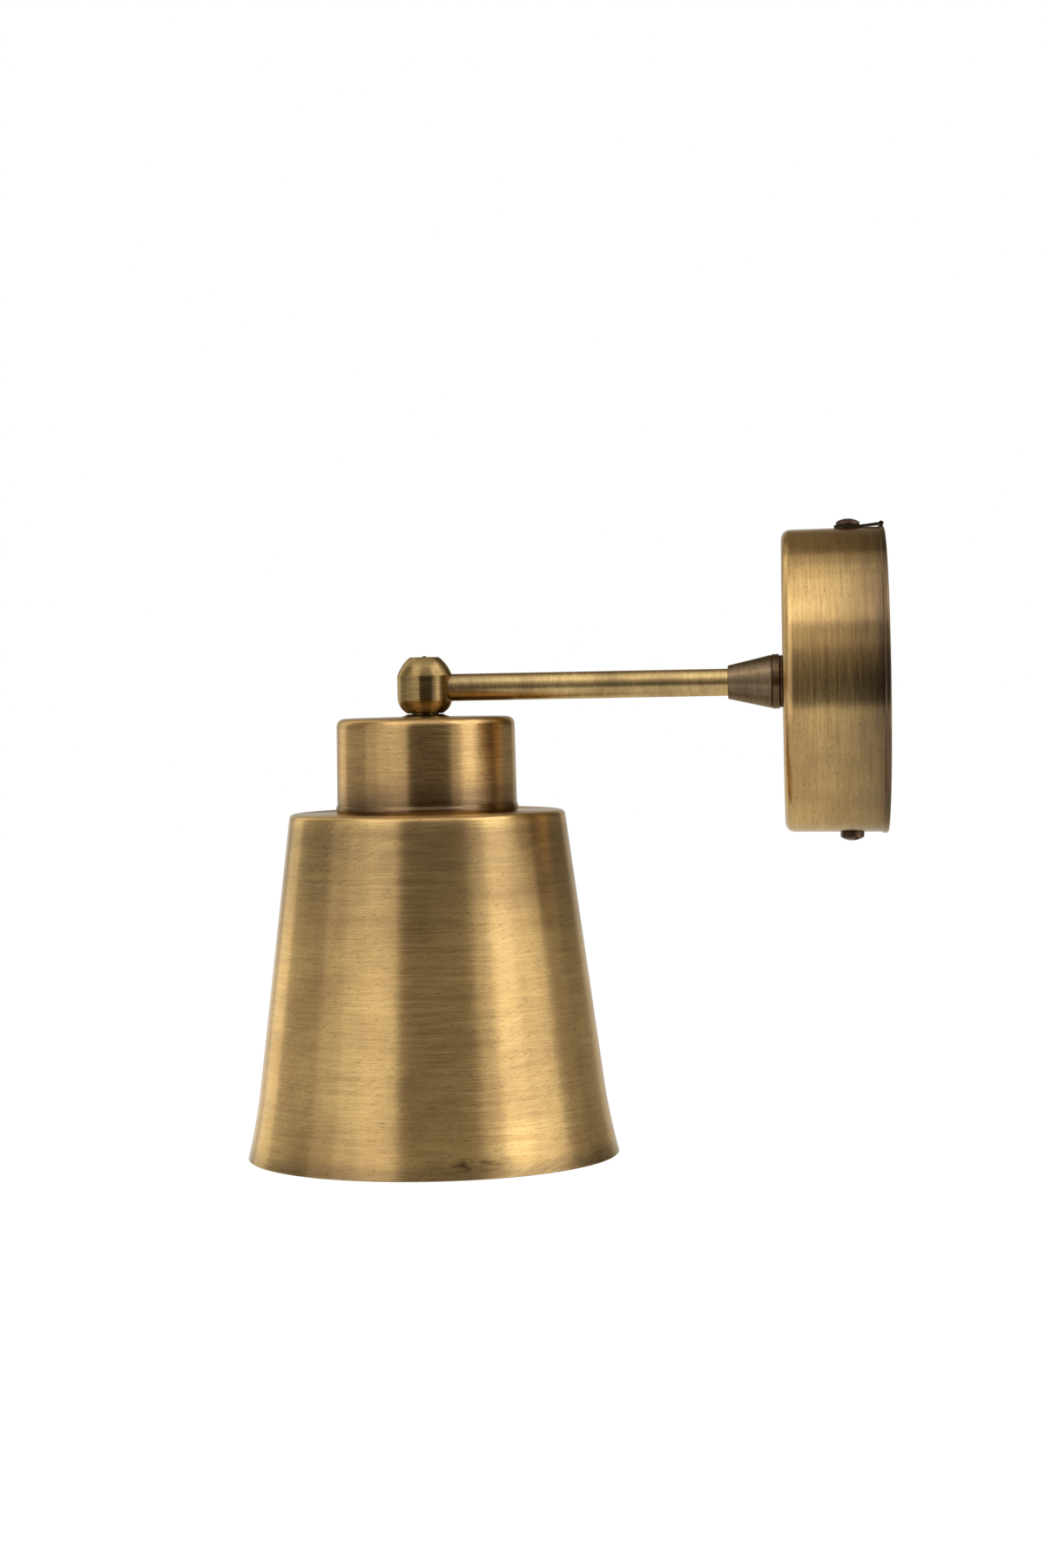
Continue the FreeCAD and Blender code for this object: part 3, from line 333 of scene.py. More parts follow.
# Mouldings and sheaths: nylon is milky and satin, phenolic resin black and fairly bright,
# glazed porcelain smooth and glossy, and vinyl satin
NYLON = moulded("Nylon moulded in natural white", "#E4E0D2", "#D6D1C0", 0.42)
PHENOLIC = moulded("Phenolic resin moulded black", "#1E1B1A", "#141211", 0.3, grain=0.7)
PORCELAIN = moulded("Porcelain dipped in clear glaze", "#E9E5DA", "#DCD6C8", 0.16, grain=2.2, depth=0.03)
SHEATH = moulded("Cable sheath of black vinyl", "#232120", "#1A1817", 0.45)
BROWN_CORE = moulded("Core sheath of brown vinyl", "#5D3820", "#4E2E1A", 0.4)
BLUE_CORE = moulded("Core sheath of blue vinyl", "#2C5E9E", "#244F88", 0.4)
EARTH_CORE = striped_core("Core sheath of green and yellow vinyl", "#3C8A3E", "#E0C83C")

FINISHES = {
    "shade": SHADE_BRASS, "shade_cap": CAP_BRASS, "rose_cup": ROSE_BRASS, "arm_tube": ARM_BRASS,
    "rose_nipple": ARM_BRASS, "arm_cone": CONE_BRASS, "screw_strip": CONE_BRASS,
    "knuckle": KNUCKLE_BRASS, "neck_collar": KNUCKLE_BRASS, "head_nipple": KNUCKLE_BRASS,
    "cone_washer": BROWNED_STEEL, "cover_washer": BROWNED_STEEL, "knuckle_screws": BROWNED_STEEL,
    "cover_screw_top": BROWNED_STEEL, "cover_screw_bottom": BROWNED_STEEL, "wall_bracket": ZINC,
    "lock_washer": ZINC, "rose_locknut": ZINC, "cap_locknut": ZINC, "block_screw": ZINC,
    "earth_screw": ZINC, "neck_screw": ZINC, "pole_tubes": BARE_BRASS, "pole_screws": BARE_BRASS,
    "screw_shell": BARE_BRASS, "centre_contact": BARE_BRASS, "holder_terminals": BARE_BRASS,
    "holder_terminal_screws": BARE_BRASS, "earth_tag": TINNED,
    "terminal_block": NYLON, "lampholder_dome": PHENOLIC, "lampholder_body": PHENOLIC, "shade_ring": PHENOLIC,
    "socket_insert": PORCELAIN, "arm_cable": SHEATH, "knuckle_cable": SHEATH, "head_cable": SHEATH,
    "rose_live_core": BROWN_CORE, "head_live_core": BROWN_CORE, "rose_neutral_core": BLUE_CORE,
    "head_neutral_core": BLUE_CORE, "rose_earth_core": EARTH_CORE, "head_earth_core": EARTH_CORE,
}
for node_name, finish in FINISHES.items():
    slots = frame["nodes"][node_name].data.materials
    slots.clear()
    slots.append(finish)


# Shapes

BODY_OF = {n: b for b, names in frame["record"]["behaviour"]["bodies"].items() for n in names}
SMOOTH_UNDER = 32                        # degrees between faces that are still shaded as one


def mesh_object(bm, name, *finishes):
    """Makes a bmesh a smooth-shaded object."""
    mesh = bpy.data.meshes.new(name)
    bm.to_mesh(mesh)
    bm.free()
    mesh.polygons.foreach_set("use_smooth", [True] * len(mesh.polygons))
    mesh.set_sharp_from_angle(angle=math.radians(SMOOTH_UNDER))
    for finish in finishes:
        mesh.materials.append(finish)
    piece = bpy.data.objects.new(name, mesh)
    bpy.context.scene.collection.objects.link(piece)
    return piece


def stand_for(piece, slot, *nodes):
    """The piece rides with the body of the nodes that it stands for, which are hidden. The slot is not used.
    """
    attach(piece, BODY_OF[nodes[0]])
    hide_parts(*nodes)
    return piece


def carved(piece, *cutters):
    """Cuts other meshes out of a piece and removes them."""
    for index, cutter in enumerate(cutters):
        tool = mesh_object(cutter, f"cutter_{index}")
        cut = piece.modifiers.new("Cut", "BOOLEAN")
        cut.operation, cut.solver, cut.object = "DIFFERENCE", "EXACT", tool
        bpy.context.view_layer.update()
        mesh = bpy.data.meshes.new_from_object(piece.evaluated_get(bpy.context.evaluated_depsgraph_get()))
        piece.modifiers.clear()
        piece.data = mesh
        bpy.data.objects.remove(tool)
    piece.data.set_sharp_from_angle(angle=math.radians(SMOOTH_UNDER))
    return piece


def joined(piece, *more):
    """Adds other meshes to a piece."""
    bm = bmesh.new()
    bm.from_mesh(piece.data)
    for part in more:
        mesh = bpy.data.meshes.new("part")
        part.to_mesh(mesh)
        part.free()
        mesh.polygons.foreach_set("use_smooth", [True] * len(mesh.polygons))
        bm.from_mesh(mesh)
        bpy.data.meshes.remove(mesh)
    bm.to_mesh(piece.data)
    bm.free()
    piece.data.set_sharp_from_angle(angle=math.radians(SMOOTH_UNDER))
    return piece


def on_ring(vert, radius, along, axis, centre):
    """Whether a vertex lies on the circle of a profile point."""
    place = vert.co / MM - Vector(centre)
    here = place.x if axis == X_AXIS else place.z
    away = math.hypot(place.y, place.z if axis == X_AXIS else place.x)
    return abs(here - along) < 0.01 and abs(away - radius) < 0.01


def turned(profile, axis=Z_AXIS, centre=DROP, steps=160):
    """Solid turned about an axis from (radius, along, corner radius) points in millimetres."""
    bm = bmesh.new()
    corners = []
    for radius, along, *_ in profile:
        place = (along, 0, radius) if axis == X_AXIS else (radius, 0, along)
        corners.append(bm.verts.new((Vector(place) + Vector(centre)) * MM))
    radii = [point[0] for point in profile]
    for index, start in enumerate(corners):
        if radii[index - 1] > 0 or radii[index] > 0:
            bm.edges.new((corners[index - 1], start))
    bmesh.ops.spin(bm, geom=bm.verts[:] + bm.edges[:], cent=Vector(centre) * MM, axis=axis,
                   angle=math.tau, steps=steps, use_merge=True)
    bmesh.ops.remove_doubles(bm, verts=bm.verts, dist=1e-7)
    bmesh.ops.recalc_face_normals(bm, faces=bm.faces)
    for radius, along, *corner in profile:
        if corner:
            ring = [e for e in bm.edges if all(on_ring(v, radius, along, axis, centre) for v in e.verts)]
            bmesh.ops.bevel(bm, geom=ring, offset=corner[0] * MM, offset_type="OFFSET", segments=5,
                            profile=0.5, affect="EDGES", material=-1)
    return bm


CREST_START, CREST_END = 0.42, 0.58      # flat top of a thread, as shares of its pitch


def helix(section, pitch, start, end, steps=48):
    """Threaded sheet between two heights on Z, from the (radius, height) points of one pitch."""
    bm = bmesh.new()
    below = start - pitch * 1.5
    points = [bm.verts.new(Vector((radius, 0, below + height)) * MM) for radius, height in section]
    for first, second in zip(points, points[1:]):
        bm.edges.new((first, second))
    turns = math.ceil((end - start) / pitch + 3)
    bmesh.ops.spin(bm, geom=bm.verts[:] + bm.edges[:], cent=ORIGIN, axis=Z_AXIS, angle=math.tau * turns,
                   steps=steps * turns, dvec=(0, 0, pitch / steps * MM), use_merge=False)
    bmesh.ops.remove_doubles(bm, verts=bm.verts, dist=1e-6)
    for height, normal in ((start, (0, 0, -1)), (end, Z_AXIS)):
        bmesh.ops.bisect_plane(bm, geom=bm.verts[:] + bm.edges[:] + bm.faces[:], dist=1e-7,
                               plane_co=(0, 0, height * MM), plane_no=normal, clear_outer=True)
    return bm


def level_edges(bm, height):
    """Open edges at one height, and edges with no face there."""
    return [e for e in bm.edges if len(e.link_faces) < 2
            and all(abs(v.co.z - height * MM) < 1e-7 for v in e.verts)]


def threaded_rod(major_r, depth, pitch, start, end, bore_r=None, steps=48):
    """Threaded rod or tube between two heights on Z."""
    section = [(major_r - depth, 0), (major_r, pitch * CREST_START), (major_r, pitch * CREST_END),
               (major_r - depth, pitch)]
    bm = helix(section, pitch, start, end, steps)
    if bore_r:
        for height in (start, end):
            bmesh.ops.create_circle(bm, segments=steps, radius=bore_r * MM,
                                    matrix=Matrix.Translation((0, 0, height * MM)))
        bores = {h: [e for e in level_edges(bm, h) if not e.link_faces] for h in (start, end)}
        ends = {h: [e for e in level_edges(bm, h) if e.link_faces] for h in (start, end)}
        bmesh.ops.bridge_loops(bm, edges=bores[start] + bores[end])
        for height in (start, end):
            bmesh.ops.bridge_loops(bm, edges=bores[height] + ends[height])
    else:
        bmesh.ops.holes_fill(bm, edges=bm.edges, sides=0)
    bmesh.ops.recalc_face_normals(bm, faces=bm.faces)
    return bm


def moved(bm, place, turn=None):
    """Turns a bmesh built on Z and moves its origin to a place in millimetres."""
    matrix = Matrix.Translation(Vector(place) * MM) @ (turn or Matrix()).to_4x4()
    bmesh.ops.transform(bm, matrix=matrix, verts=bm.verts)
    return bm


def block(size, place):
    """Box of a size around a place, in millimetres."""
    bm = bmesh.new()
    bmesh.ops.create_cube(bm, size=MM,
                          matrix=Matrix.Translation(Vector(place) * MM) @ Matrix.Diagonal((*size, 1)))
    return bm


def pin(radius, start, end, segments=48):
    """Plain cylinder between two places, in millimetres."""
    run = Vector(end) - Vector(start)
    bm = bmesh.new()
    bmesh.ops.create_cone(bm, cap_ends=True, segments=segments, radius1=radius * MM, radius2=radius * MM,
                          depth=run.length * MM)
    return moved(bm, (Vector(start) + Vector(end)) / 2, run.to_track_quat("Z", "Y").to_matrix())


def bulged(start, end, rise, steps=8):
    """Profile points from start to end that rise outwards over the straight line."""
    run = Vector((end[0] - start[0], end[1] - start[1]))
    outwards = Vector((-run.y, run.x)).normalized()
    points = []
    for index in range(1, steps):
        share = index / steps
        points.append(tuple(Vector(start[:2]) + run * share + outwards * rise * 4 * share * (1 - share)))
    return [start] + points + [end]


def ridged(radius_at, top, bottom, pitch, high):
    """Profile points down a spun wall whose ridges are one feed of the roller apart."""
    count = round((top - bottom) / pitch * 2)
    points = []
    for index in range(count + 1):
        z = top + (bottom - top) * index / count
        lift = high * (index % 2) * (0.7 + 0.3 * math.sin(index * 0.37))
        points.append((radius_at(z) - high + lift, z))
    return points


# Shade: spun over a former, so its wall has shallow ridges
SHADE_TOP = high_end("shade").z
RIM_Z = low_end("shade").z
RIM_R = high_end("shade").y
SHADE_TOP_R = 51.0
SHADE_SLOPE = 0.1275
SHADE_CORNER = 1.6
FLARE_HIGH = 27.0
SHEET = 0.8
HOLDER_HOLE_R = 19.62
RIDGE_PITCH = 1.1
RIDGE_HIGH = 0.008
INNER_HEIGHTS = (0, 3, 7, 12, 18, 27, 60, 90)


def shade_radius(z):
    """Outer radius of the shade's wall: straight, then flared to the rim."""
    straight = SHADE_TOP_R + SHADE_SLOPE * (SHADE_TOP - z)
    foot = SHADE_TOP_R + SHADE_SLOPE * (SHADE_TOP - RIM_Z)
    share = max(0, (RIM_Z + FLARE_HIGH - z) / FLARE_HIGH)
    return straight + (RIM_R - foot) * share ** 2


def spun_shade():
    """Flat shoulder with a hole for the lampholder, a ridged wall and a rounded rim."""
    inside = [(shade_radius(RIM_Z + high) - SHEET, RIM_Z + high) for high in INNER_HEIGHTS]
    profile = [(HOLDER_HOLE_R, SHADE_TOP), (SHADE_TOP_R, SHADE_TOP, SHADE_CORNER)]
    profile += ridged(shade_radius, SHADE_TOP - 2.4, RIM_Z + 1, RIDGE_PITCH, RIDGE_HIGH)
    profile += [(RIM_R - 0.02, RIM_Z + 0.22), (RIM_R - 0.2, RIM_Z)]
    profile += [(inside[0][0] + 0.2, RIM_Z), (inside[0][0], RIM_Z + 0.2)] + inside[1:]
    profile += [(SHADE_TOP_R - SHEET, SHADE_TOP - SHEET, SHADE_CORNER - SHEET),
                (HOLDER_HOLE_R, SHADE_TOP - SHEET)]
    piece = mesh_object(turned(profile, steps=180), "spun_shade", SHADE_BRASS)
    return stand_for(piece, "spun_brass", "shade")


def spun_cap():
    """Drum with a hole for the nipple, ridged walls and a rolled bead at its foot."""
    top, foot = high_end("shade_cap").z, low_end("shade_cap").z
    top_r, foot_r, wall, hole_r = 33.0, 33.4, 1.0, 5.02

    def radius_at(z):
        return top_r + (foot_r - top_r) * (top - z) / (top - foot)

    bead = [(foot_r + 0.5 * math.sin(math.pi * share), foot + 3 * (1 - share))
            for share in (0.06, 0.2, 0.35, 0.5, 0.65, 0.8, 0.94)]
    profile = [(hole_r, top), (top_r, top, 2.8)] + ridged(radius_at, top - 3.6, foot + 3.2, 0.9, 0.006) + bead
    profile += [(foot_r, foot), (foot_r - wall, foot), (top_r - wall, top - wall, 1.8),
                (hole_r, top - wall)]
    piece = mesh_object(turned(profile), "spun_cap", CAP_BRASS)
    return stand_for(piece, "spun_brass", "shade_cap")


def spun_rose():
    """Cup, open towards the wall, with a turned hem and two holes for the cover screws."""
    face, hem_r = low_end("rose_cup").x, high_end("rose_cup").y
    front_r, wall, hole_r, step = 55.4, 1.0, 5.02, 2.2
    skirt_r = hem_r - 0.4
    profile = [(hole_r, face), (front_r, face, 3.3), (skirt_r, -step), (hem_r - 0.1, -1.95), (hem_r, -1.75),
               (hem_r, -0.5), (hem_r - 0.12, -0.2), (skirt_r, 0), (skirt_r - wall, 0),
               (front_r - wall, face + wall, 2.3), (hole_r, face + wall)]
    piece = mesh_object(turned(profile, X_AXIS, ORIGIN), "spun_rose", ROSE_BRASS)
    screw_x = middle("cover_screw_top").x
    holes = [pin(2.3, (screw_x, 0, side * (skirt_r - 3)), (screw_x, 0, side * (skirt_r + 3)))
             for side in (-1, 1)]
    return stand_for(carved(piece, *holes), "spun_brass", "rose_cup")


# Threads of the nipple and of the phenolic sleeve, and the rolled thread of the lamp socket
def threaded_nipple():
    """Nipple between the rose and the arm, turned to lie along X."""
    start, end = low_end("rose_nipple").x, high_end("rose_nipple").x
    turn = Matrix.Rotation(math.pi / 2, 3, "Y")
    piece = mesh_object(moved(threaded_rod(5.0, 0.55, 1.0, start, end, 3.6), ORIGIN, turn), "threaded_nipple",
                        THREAD_BRASS)
    return stand_for(piece, "turned_brass", "rose_nipple")


def rolled_shell():
    """Screw shell of thin sheet with its thread rolled in."""
    low, high = low_end("screw_shell").z, high_end("screw_shell").z
    pitch, groove_r, ridge_r, sheet = 3.6, 13.68, 12.75, 0.35
    section = []
    for index in range(9):
        share = (1 - math.cos(math.tau * index / 8)) / 2
        section.append((groove_r + (ridge_r - groove_r) * share ** 1.4, pitch * index / 8))
    bm = helix(section, pitch, low, high)
    bmesh.ops.recalc_face_normals(bm, faces=bm.faces)
    bmesh.ops.solidify(bm, geom=bm.faces[:], thickness=sheet * MM)
    piece = mesh_object(moved(bm, DROP), "rolled_shell", BARE_BRASS)
    return stand_for(piece, "bright_brass", "screw_shell")


def cover_screw(node, side, slot_turn):
    """Domed screw with a driver slot and a metric thread, on top (1) or below (-1)."""
    head_r, head_high, rim_high, dome_r, slot, thread_r, pitch = 4.35, 2.4, 1.08, 7.82, 1.0, 2.0, 0.7
    inner, outer = sorted((low_end(node).z * side, high_end(node).z * side))
    base = outer - head_high
    dome = [(head_r * share, outer - dome_r + math.sqrt(dome_r ** 2 - (head_r * share) ** 2))
            for share in (0.0, 0.25, 0.5, 0.7, 0.85)]
    profile = dome + [(head_r, base + rim_high, 0.3), (head_r, base + 0.15), (head_r - 0.15, base),
                      (0, base)]
    upright = Matrix.Rotation(0 if side > 0 else math.pi, 3, "X")
    place = (middle(node).x, 0, 0)
    turn = upright @ Matrix.Rotation(math.radians(slot_turn), 3, "Z")
    head = mesh_object(moved(turned(profile, centre=ORIGIN, steps=64), place, upright), "slotted_" + node,
                       BROWNED_STEEL)
    slot_cut = block((3 * head_r, slot, head_high), (0, 0, base + rim_high + head_high / 2))
    shank = moved(threaded_rod(thread_r, 0.38, pitch, inner, base + 0.2, steps=24), place, upright)
    return stand_for(joined(carved(head, moved(slot_cut, place, turn)), shank), "browned_screw", node)


def turned_knuckle():
    """Barrel with bulged bevels, bored for the arm and the nipple, its edges rubbed round."""
    pip_r, pip_high, band_r, half_band, top_r, bottom_r, rise = 0.7, 0.45, 10.2, 4.5, 5.4, 6.6, 0.65
    bore_r, bore_end, screw_r, roll_screw_x, swivel_screw_z = 5.05, 4.0, 1.52, 6.6, -7.1
    tip, foot = high_end("knuckle").z, low_end("knuckle").z
    top = tip - pip_high
    profile = [(0, tip), (pip_r - 0.2, tip), (pip_r, tip - 0.2), (pip_r, top)]
    profile += bulged((top_r, top, 0.2), (band_r, half_band, 0.2), rise)
    profile += bulged((band_r, -half_band, 0.2), (bottom_r, foot, 0.2), rise) + [(0, foot)]
    piece = mesh_object(turned(profile), "turned_knuckle", KNUCKLE_BRASS)
    past = band_r + 2
    roll_x = DROP_X + roll_screw_x
    carved(piece, pin(bore_r, (DROP_X - bore_end, 0, 0), (DROP_X + past, 0, 0), 96),
           pin(bore_r, (DROP_X, 0, bore_end), (DROP_X, 0, foot - 2), 96),
           pin(screw_r, (roll_x, 0, 0), (roll_x, past, 0)),
           pin(screw_r, (DROP_X, 0, swivel_screw_z), (DROP_X, past, swivel_screw_z)))
    return stand_for(piece, "turned_brass", "knuckle")


def threaded_sleeve():
    """Lower half of the lampholder: a flange on the shade, and a coarse thread for the ring below it."""
    top, foot = high_end("lampholder_body").z, low_end("lampholder_body").z
    sleeve_r, flange_r, flange_thick, upper_bore_r, lower_bore_r = 19.6, 23.5, 2.3, 18.0, 16.6
    depth, pitch, plain = 0.8, 2.5, 1.2
    root_r = sleeve_r - depth
    thread_top = SHADE_TOP - plain
    profile = [
        (upper_bore_r, top), (sleeve_r, top, 0.4), (sleeve_r, SHADE_TOP + flange_thick),
        (flange_r, SHADE_TOP + flange_thick, 0.5), (flange_r, SHADE_TOP, 0.3), (sleeve_r, SHADE_TOP),
        (sleeve_r, thread_top), (root_r, thread_top - depth), (root_r, foot, 0.6), (lower_bore_r, foot, 0.4),
        (lower_bore_r, SHADE_TOP), (upper_bore_r, SHADE_TOP)]
    piece = mesh_object(turned(profile, steps=96), "threaded_sleeve", PHENOLIC)
    thread = moved(threaded_rod(sleeve_r, depth, pitch, foot + plain, thread_top, lower_bore_r + 1, 96), DROP)
    return stand_for(joined(piece, thread), "phenolic", "lampholder_body")


# Camera: at the arm's height and between the shade and the wall, looking slightly down
VIEW_AZIMUTH, VIEW_ELEVATION, VIEW_ROLL = 4.34, 1.9, -1.1
VIEW_TARGET = (-134.37, 0, -36.22)
VIEW_DISTANCE = 1200.0
PHOTO_LONG_SIDE = 1800
FOCAL_PIXELS = 3719.5
SENSOR = 36.0


def looking_back(azimuth, elevation):
    """Unit vector from the object towards a viewer. Azimuth 0 is in front, 90 is at +X."""
    a, e = math.radians(azimuth), math.radians(elevation)
    return Vector((math.sin(a) * math.cos(e), -math.cos(a) * math.cos(e), math.sin(e)))


def set_camera():
    lens = bpy.data.cameras.new("Camera")
    lens.sensor_width = SENSOR
    lens.lens = FOCAL_PIXELS * SENSOR / PHOTO_LONG_SIDE
    lens.clip_start, lens.clip_end = 0.05, 50
    camera = bpy.data.objects.new("Camera", lens)
    back = looking_back(VIEW_AZIMUTH, VIEW_ELEVATION)
    aim = (-back).to_track_quat("-Z", "Y").to_matrix().to_4x4()
    roll = Matrix.Rotation(math.radians(VIEW_ROLL), 4, "Z")
    place = (Vector(VIEW_TARGET) + back * VIEW_DISTANCE) * MM
    camera.matrix_world = Matrix.Translation(place) @ aim @ roll
    bpy.context.scene.collection.objects.link(camera)
    bpy.context.scene.camera = camera


# Light: softboxes round the lamp, each given by the directions it fills as seen from the lamp
LIGHT_CENTRE = Vector((-0.14, 0, -0.06))
SOFTBOX_AWAY, OVERHEAD_AWAY = 1.3, 1.2   # metres from there


def softbox(name, azimuths, elevations, distance, radiance):
    """Area light that fills a range of directions and looks as bright as radiance."""
    azimuth, elevation = sum(azimuths) / 2, sum(elevations) / 2
    wide = 2 * distance * math.tan(math.radians(azimuths[1] - azimuths[0]) / 2)
    high = 2 * distance * math.tan(math.radians(elevations[1] - elevations[0]) / 2)
    lamp = bpy.data.lights.new(name, "AREA")
    lamp.shape = "RECTANGLE"
    lamp.size, lamp.size_y = wide, high
    lamp.energy = radiance * 4 * wide * high
    holder = bpy.data.objects.new(name, lamp)
    back = looking_back(azimuth, elevation)
    facing = back.to_track_quat("Z", "Y").to_matrix().to_4x4()
    holder.matrix_world = Matrix.Translation(LIGHT_CENTRE + back * distance) @ facing
    holder.visible_camera = False
    bpy.context.scene.collection.objects.link(holder)


LOW, HIGH, WHOLE = (-40, 8), (8, 60), (-40, 60)
SOFTBOXES = (
    ("back_left_start", (-158, -140), WHOLE, 0.3),
    ("back_left", (-140, -118), WHOLE, 0.92),
    ("back_left_end", (-118, -102), WHOLE, 0.27),
    ("left_edge", (-102, -78), WHOLE, 0.21),
    ("left_fade", (-78, -60), WHOLE, 0.52),
    ("left_half", (-60, -44), WHOLE, 0.76),
    ("left_full", (-44, -19), WHOLE, 0.88),
    ("right_low_start", (36, 50), LOW, 0.62),
    ("right_low", (50, 71), LOW, 1.42),
    ("right_low_end", (71, 98), LOW, 0.86),
    ("right_high_start", (43, 52), HIGH, 0.26),
    ("right_high", (52, 90), HIGH, 1.62),
    ("right_high_end", (90, 108), HIGH, 1.1),
    ("right_high_rest", (108, 124), HIGH, 0.45),
    ("front_high", (-40, 40), (27, 46), 0.22),
)
OVERHEAD_WIDE = (-40, 40)
OVERHEAD = (("above", (46, 84), 0.95), ("above_fade", (84, 96), 0.7), ("above_end", (96, 108), 0.35))


def set_lights():
    for name, azimuths, elevations, radiance in SOFTBOXES:
        softbox(name, azimuths, elevations, SOFTBOX_AWAY, radiance)
    for name, elevations, radiance in OVERHEAD:
        softbox(name, OVERHEAD_WIDE, elevations, OVERHEAD_AWAY, radiance)


WARM_ROOM = (1.0, 0.86, 0.72, 1.0)
WHITE = (1.0, 1.0, 1.0, 1.0)
ROOM_LOW, ROOM_HIGH = 0.035, 0.26        # brightness of the room in front, level and overhead
BACKDROP_LIGHT = 0.62                    # brightness that reflections find behind the lamp
BEHIND, FULLY_BEHIND = 0.86, 0.93        # how far back a direction points for that
BACKDROP_TOP, BACKDROP_FULL = 0.45, 0.2  # and how far up it may point
ROOM_HIGH_FROM = 0.45                    # how far up a direction points to find the room overhead
ROOM_FILL = 0.35                         # brightness that lights matt surfaces


def set_world():
    """White where the camera looks; for reflections white behind the lamp and dark in front."""
    world = bpy.data.worlds.new("Studio")
    world.use_nodes = True
    tree = world.node_tree
    tree.nodes.clear()
    coords = add(tree, "ShaderNodeTexCoord")
    parts = add(tree, "ShaderNodeSeparateXYZ", {0: coords.outputs["Generated"]})
    raised = add(tree, "ShaderNodeMapRange", {
        "Value": parts.outputs[2], "From Min": 0.0, "From Max": ROOM_HIGH_FROM,
        "To Min": ROOM_LOW, "To Max": ROOM_HIGH}, interpolation_type="SMOOTHSTEP")
    behind = add(tree, "ShaderNodeMapRange", {
        "Value": parts.outputs[1], "From Min": BEHIND, "From Max": FULLY_BEHIND},
        interpolation_type="SMOOTHSTEP")
    low = add(tree, "ShaderNodeMapRange", {
        "Value": parts.outputs[2], "From Min": BACKDROP_TOP, "From Max": BACKDROP_FULL},
        interpolation_type="SMOOTHSTEP")
    backdrop = add(tree, "ShaderNodeMath", {0: behind.outputs[0], 1: low.outputs[0]}, operation="MULTIPLY")
    room = add(tree, "ShaderNodeMix", {
        0: backdrop.outputs[0], NUMBER_A: raised.outputs[0], NUMBER_B: BACKDROP_LIGHT}, data_type="FLOAT")
    path = add(tree, "ShaderNodeLightPath")
    soft = add(tree, "ShaderNodeMix", {
        0: path.outputs["Is Glossy Ray"], NUMBER_A: ROOM_FILL, NUMBER_B: room.outputs[NUMBER_OUT]},
        data_type="FLOAT")
    seen = add(tree, "ShaderNodeMath", {
        0: path.outputs["Is Camera Ray"], 1: path.outputs["Is Transmission Ray"]}, operation="MAXIMUM")
    strength = add(tree, "ShaderNodeMix", {
        0: seen.outputs[0], NUMBER_A: soft.outputs[NUMBER_OUT], NUMBER_B: 1.0}, data_type="FLOAT")
    plain = add(tree, "ShaderNodeMath", {0: seen.outputs[0], 1: backdrop.outputs[0]}, operation="MAXIMUM")
    tint = layered(tree, WARM_ROOM, (plain.outputs[0], 0.0, 1.0, WHITE))
    sky = add(tree, "ShaderNodeBackground", {"Color": tint, "Strength": strength.outputs[NUMBER_OUT]})
    add(tree, "ShaderNodeOutputWorld", {"Surface": sky.outputs[0]})
    bpy.context.scene.world = world


FLOOR_Z = -0.62
FLOOR_SIZE = 12.0
TABLE_FRONT = -1.78                      # reflections find the floor lit up to here, then dark
TABLE_LIGHT, TABLE_DARK = 0.86, 0.05
TABLE_EDGE = 0.15                        # half the width of the change between them
PAPER_GLOW, GLOW_SHARE = 1.14, 0.85      # what the camera sees: white, with some of the shadow


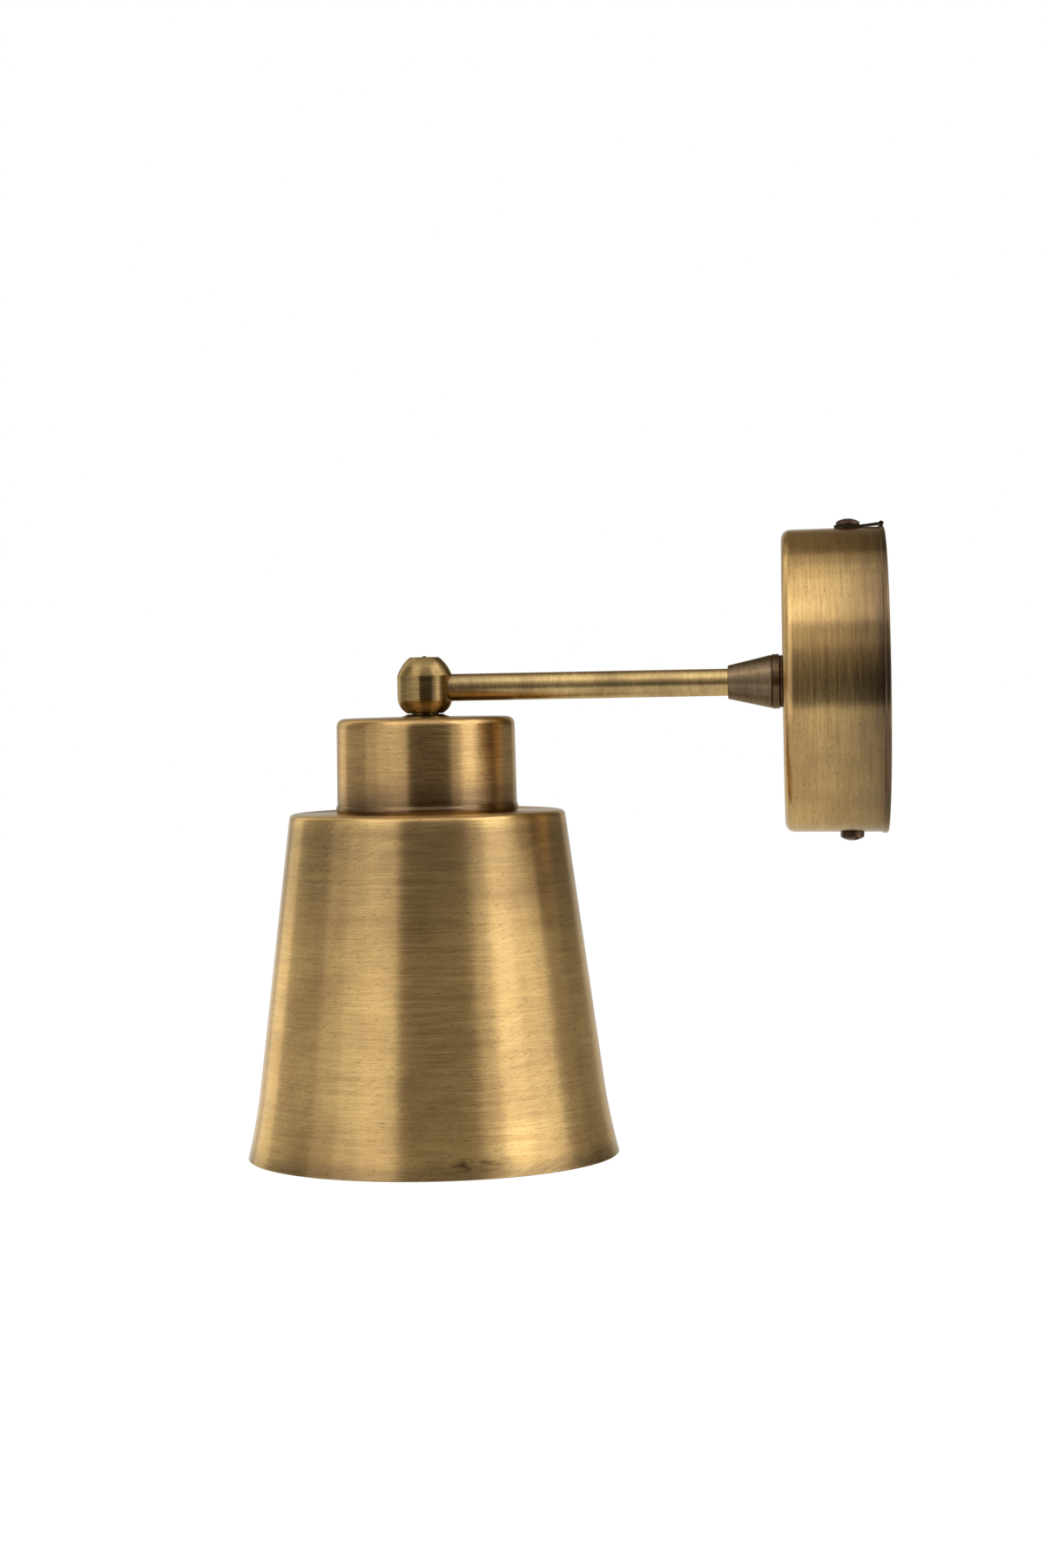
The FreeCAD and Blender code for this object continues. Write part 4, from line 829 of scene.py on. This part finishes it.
def set_floor():
    """Pale floor below the lamp. It shows white and keeps a soft shadow; from below it is clear."""
    bm = bmesh.new()
    bmesh.ops.create_grid(bm, x_segments=1, y_segments=1, size=FLOOR_SIZE)
    bmesh.ops.translate(bm, verts=bm.verts, vec=(0, 0, FLOOR_Z))
    mesh = bpy.data.meshes.new("Floor")
    bm.to_mesh(mesh)
    bm.free()
    made, tree = material("Studio paper white and matt")
    path = add(tree, "ShaderNodeLightPath")
    geometry = add(tree, "ShaderNodeNewGeometry")
    coords = add(tree, "ShaderNodeTexCoord")
    parts = add(tree, "ShaderNodeSeparateXYZ", {0: coords.outputs["Object"]})
    lit = add(tree, "ShaderNodeMapRange", {
        "Value": parts.outputs[1], "From Min": TABLE_FRONT - TABLE_EDGE,
        "From Max": TABLE_FRONT + TABLE_EDGE,
        "To Min": TABLE_DARK, "To Max": TABLE_LIGHT})
    paper = add(tree, "ShaderNodeBsdfDiffuse", {"Color": linear("#F4F3F1")})
    glow = add(tree, "ShaderNodeEmission", {"Strength": PAPER_GLOW})
    shown = add(tree, "ShaderNodeMixShader", {0: GLOW_SHARE, 1: paper.outputs[0], 2: glow.outputs[0]})
    mirrored = add(tree, "ShaderNodeEmission", {"Strength": lit.outputs[0]})
    seen = add(tree, "ShaderNodeMath", {
        0: path.outputs["Is Camera Ray"], 1: path.outputs["Is Transmission Ray"]}, operation="MAXIMUM")
    both = add(tree, "ShaderNodeMixShader", {0: seen.outputs[0], 1: paper.outputs[0], 2: shown.outputs[0]})
    both = add(tree, "ShaderNodeMixShader", {
        0: path.outputs["Is Glossy Ray"], 1: both.outputs[0], 2: mirrored.outputs[0]})
    clear = add(tree, "ShaderNodeBsdfTransparent")
    sided = add(tree, "ShaderNodeMixShader", {
        0: geometry.outputs["Backfacing"], 1: both.outputs[0], 2: clear.outputs[0]})
    add(tree, "ShaderNodeOutputMaterial", {"Surface": sided.outputs[0]})
    mesh.materials.append(made)
    floor = bpy.data.objects.new("Floor", mesh)
    bpy.context.scene.collection.objects.link(floor)


spun_shade()
spun_cap()
spun_rose()
threaded_nipple()
rolled_shell()
cover_screw("cover_screw_top", side=1, slot_turn=35)
cover_screw("cover_screw_bottom", side=-1, slot_turn=65)
turned_knuckle()
threaded_sleeve()
set_camera()
set_lights()
set_world()
set_floor()
bpy.context.scene.view_settings.view_transform = "Standard"
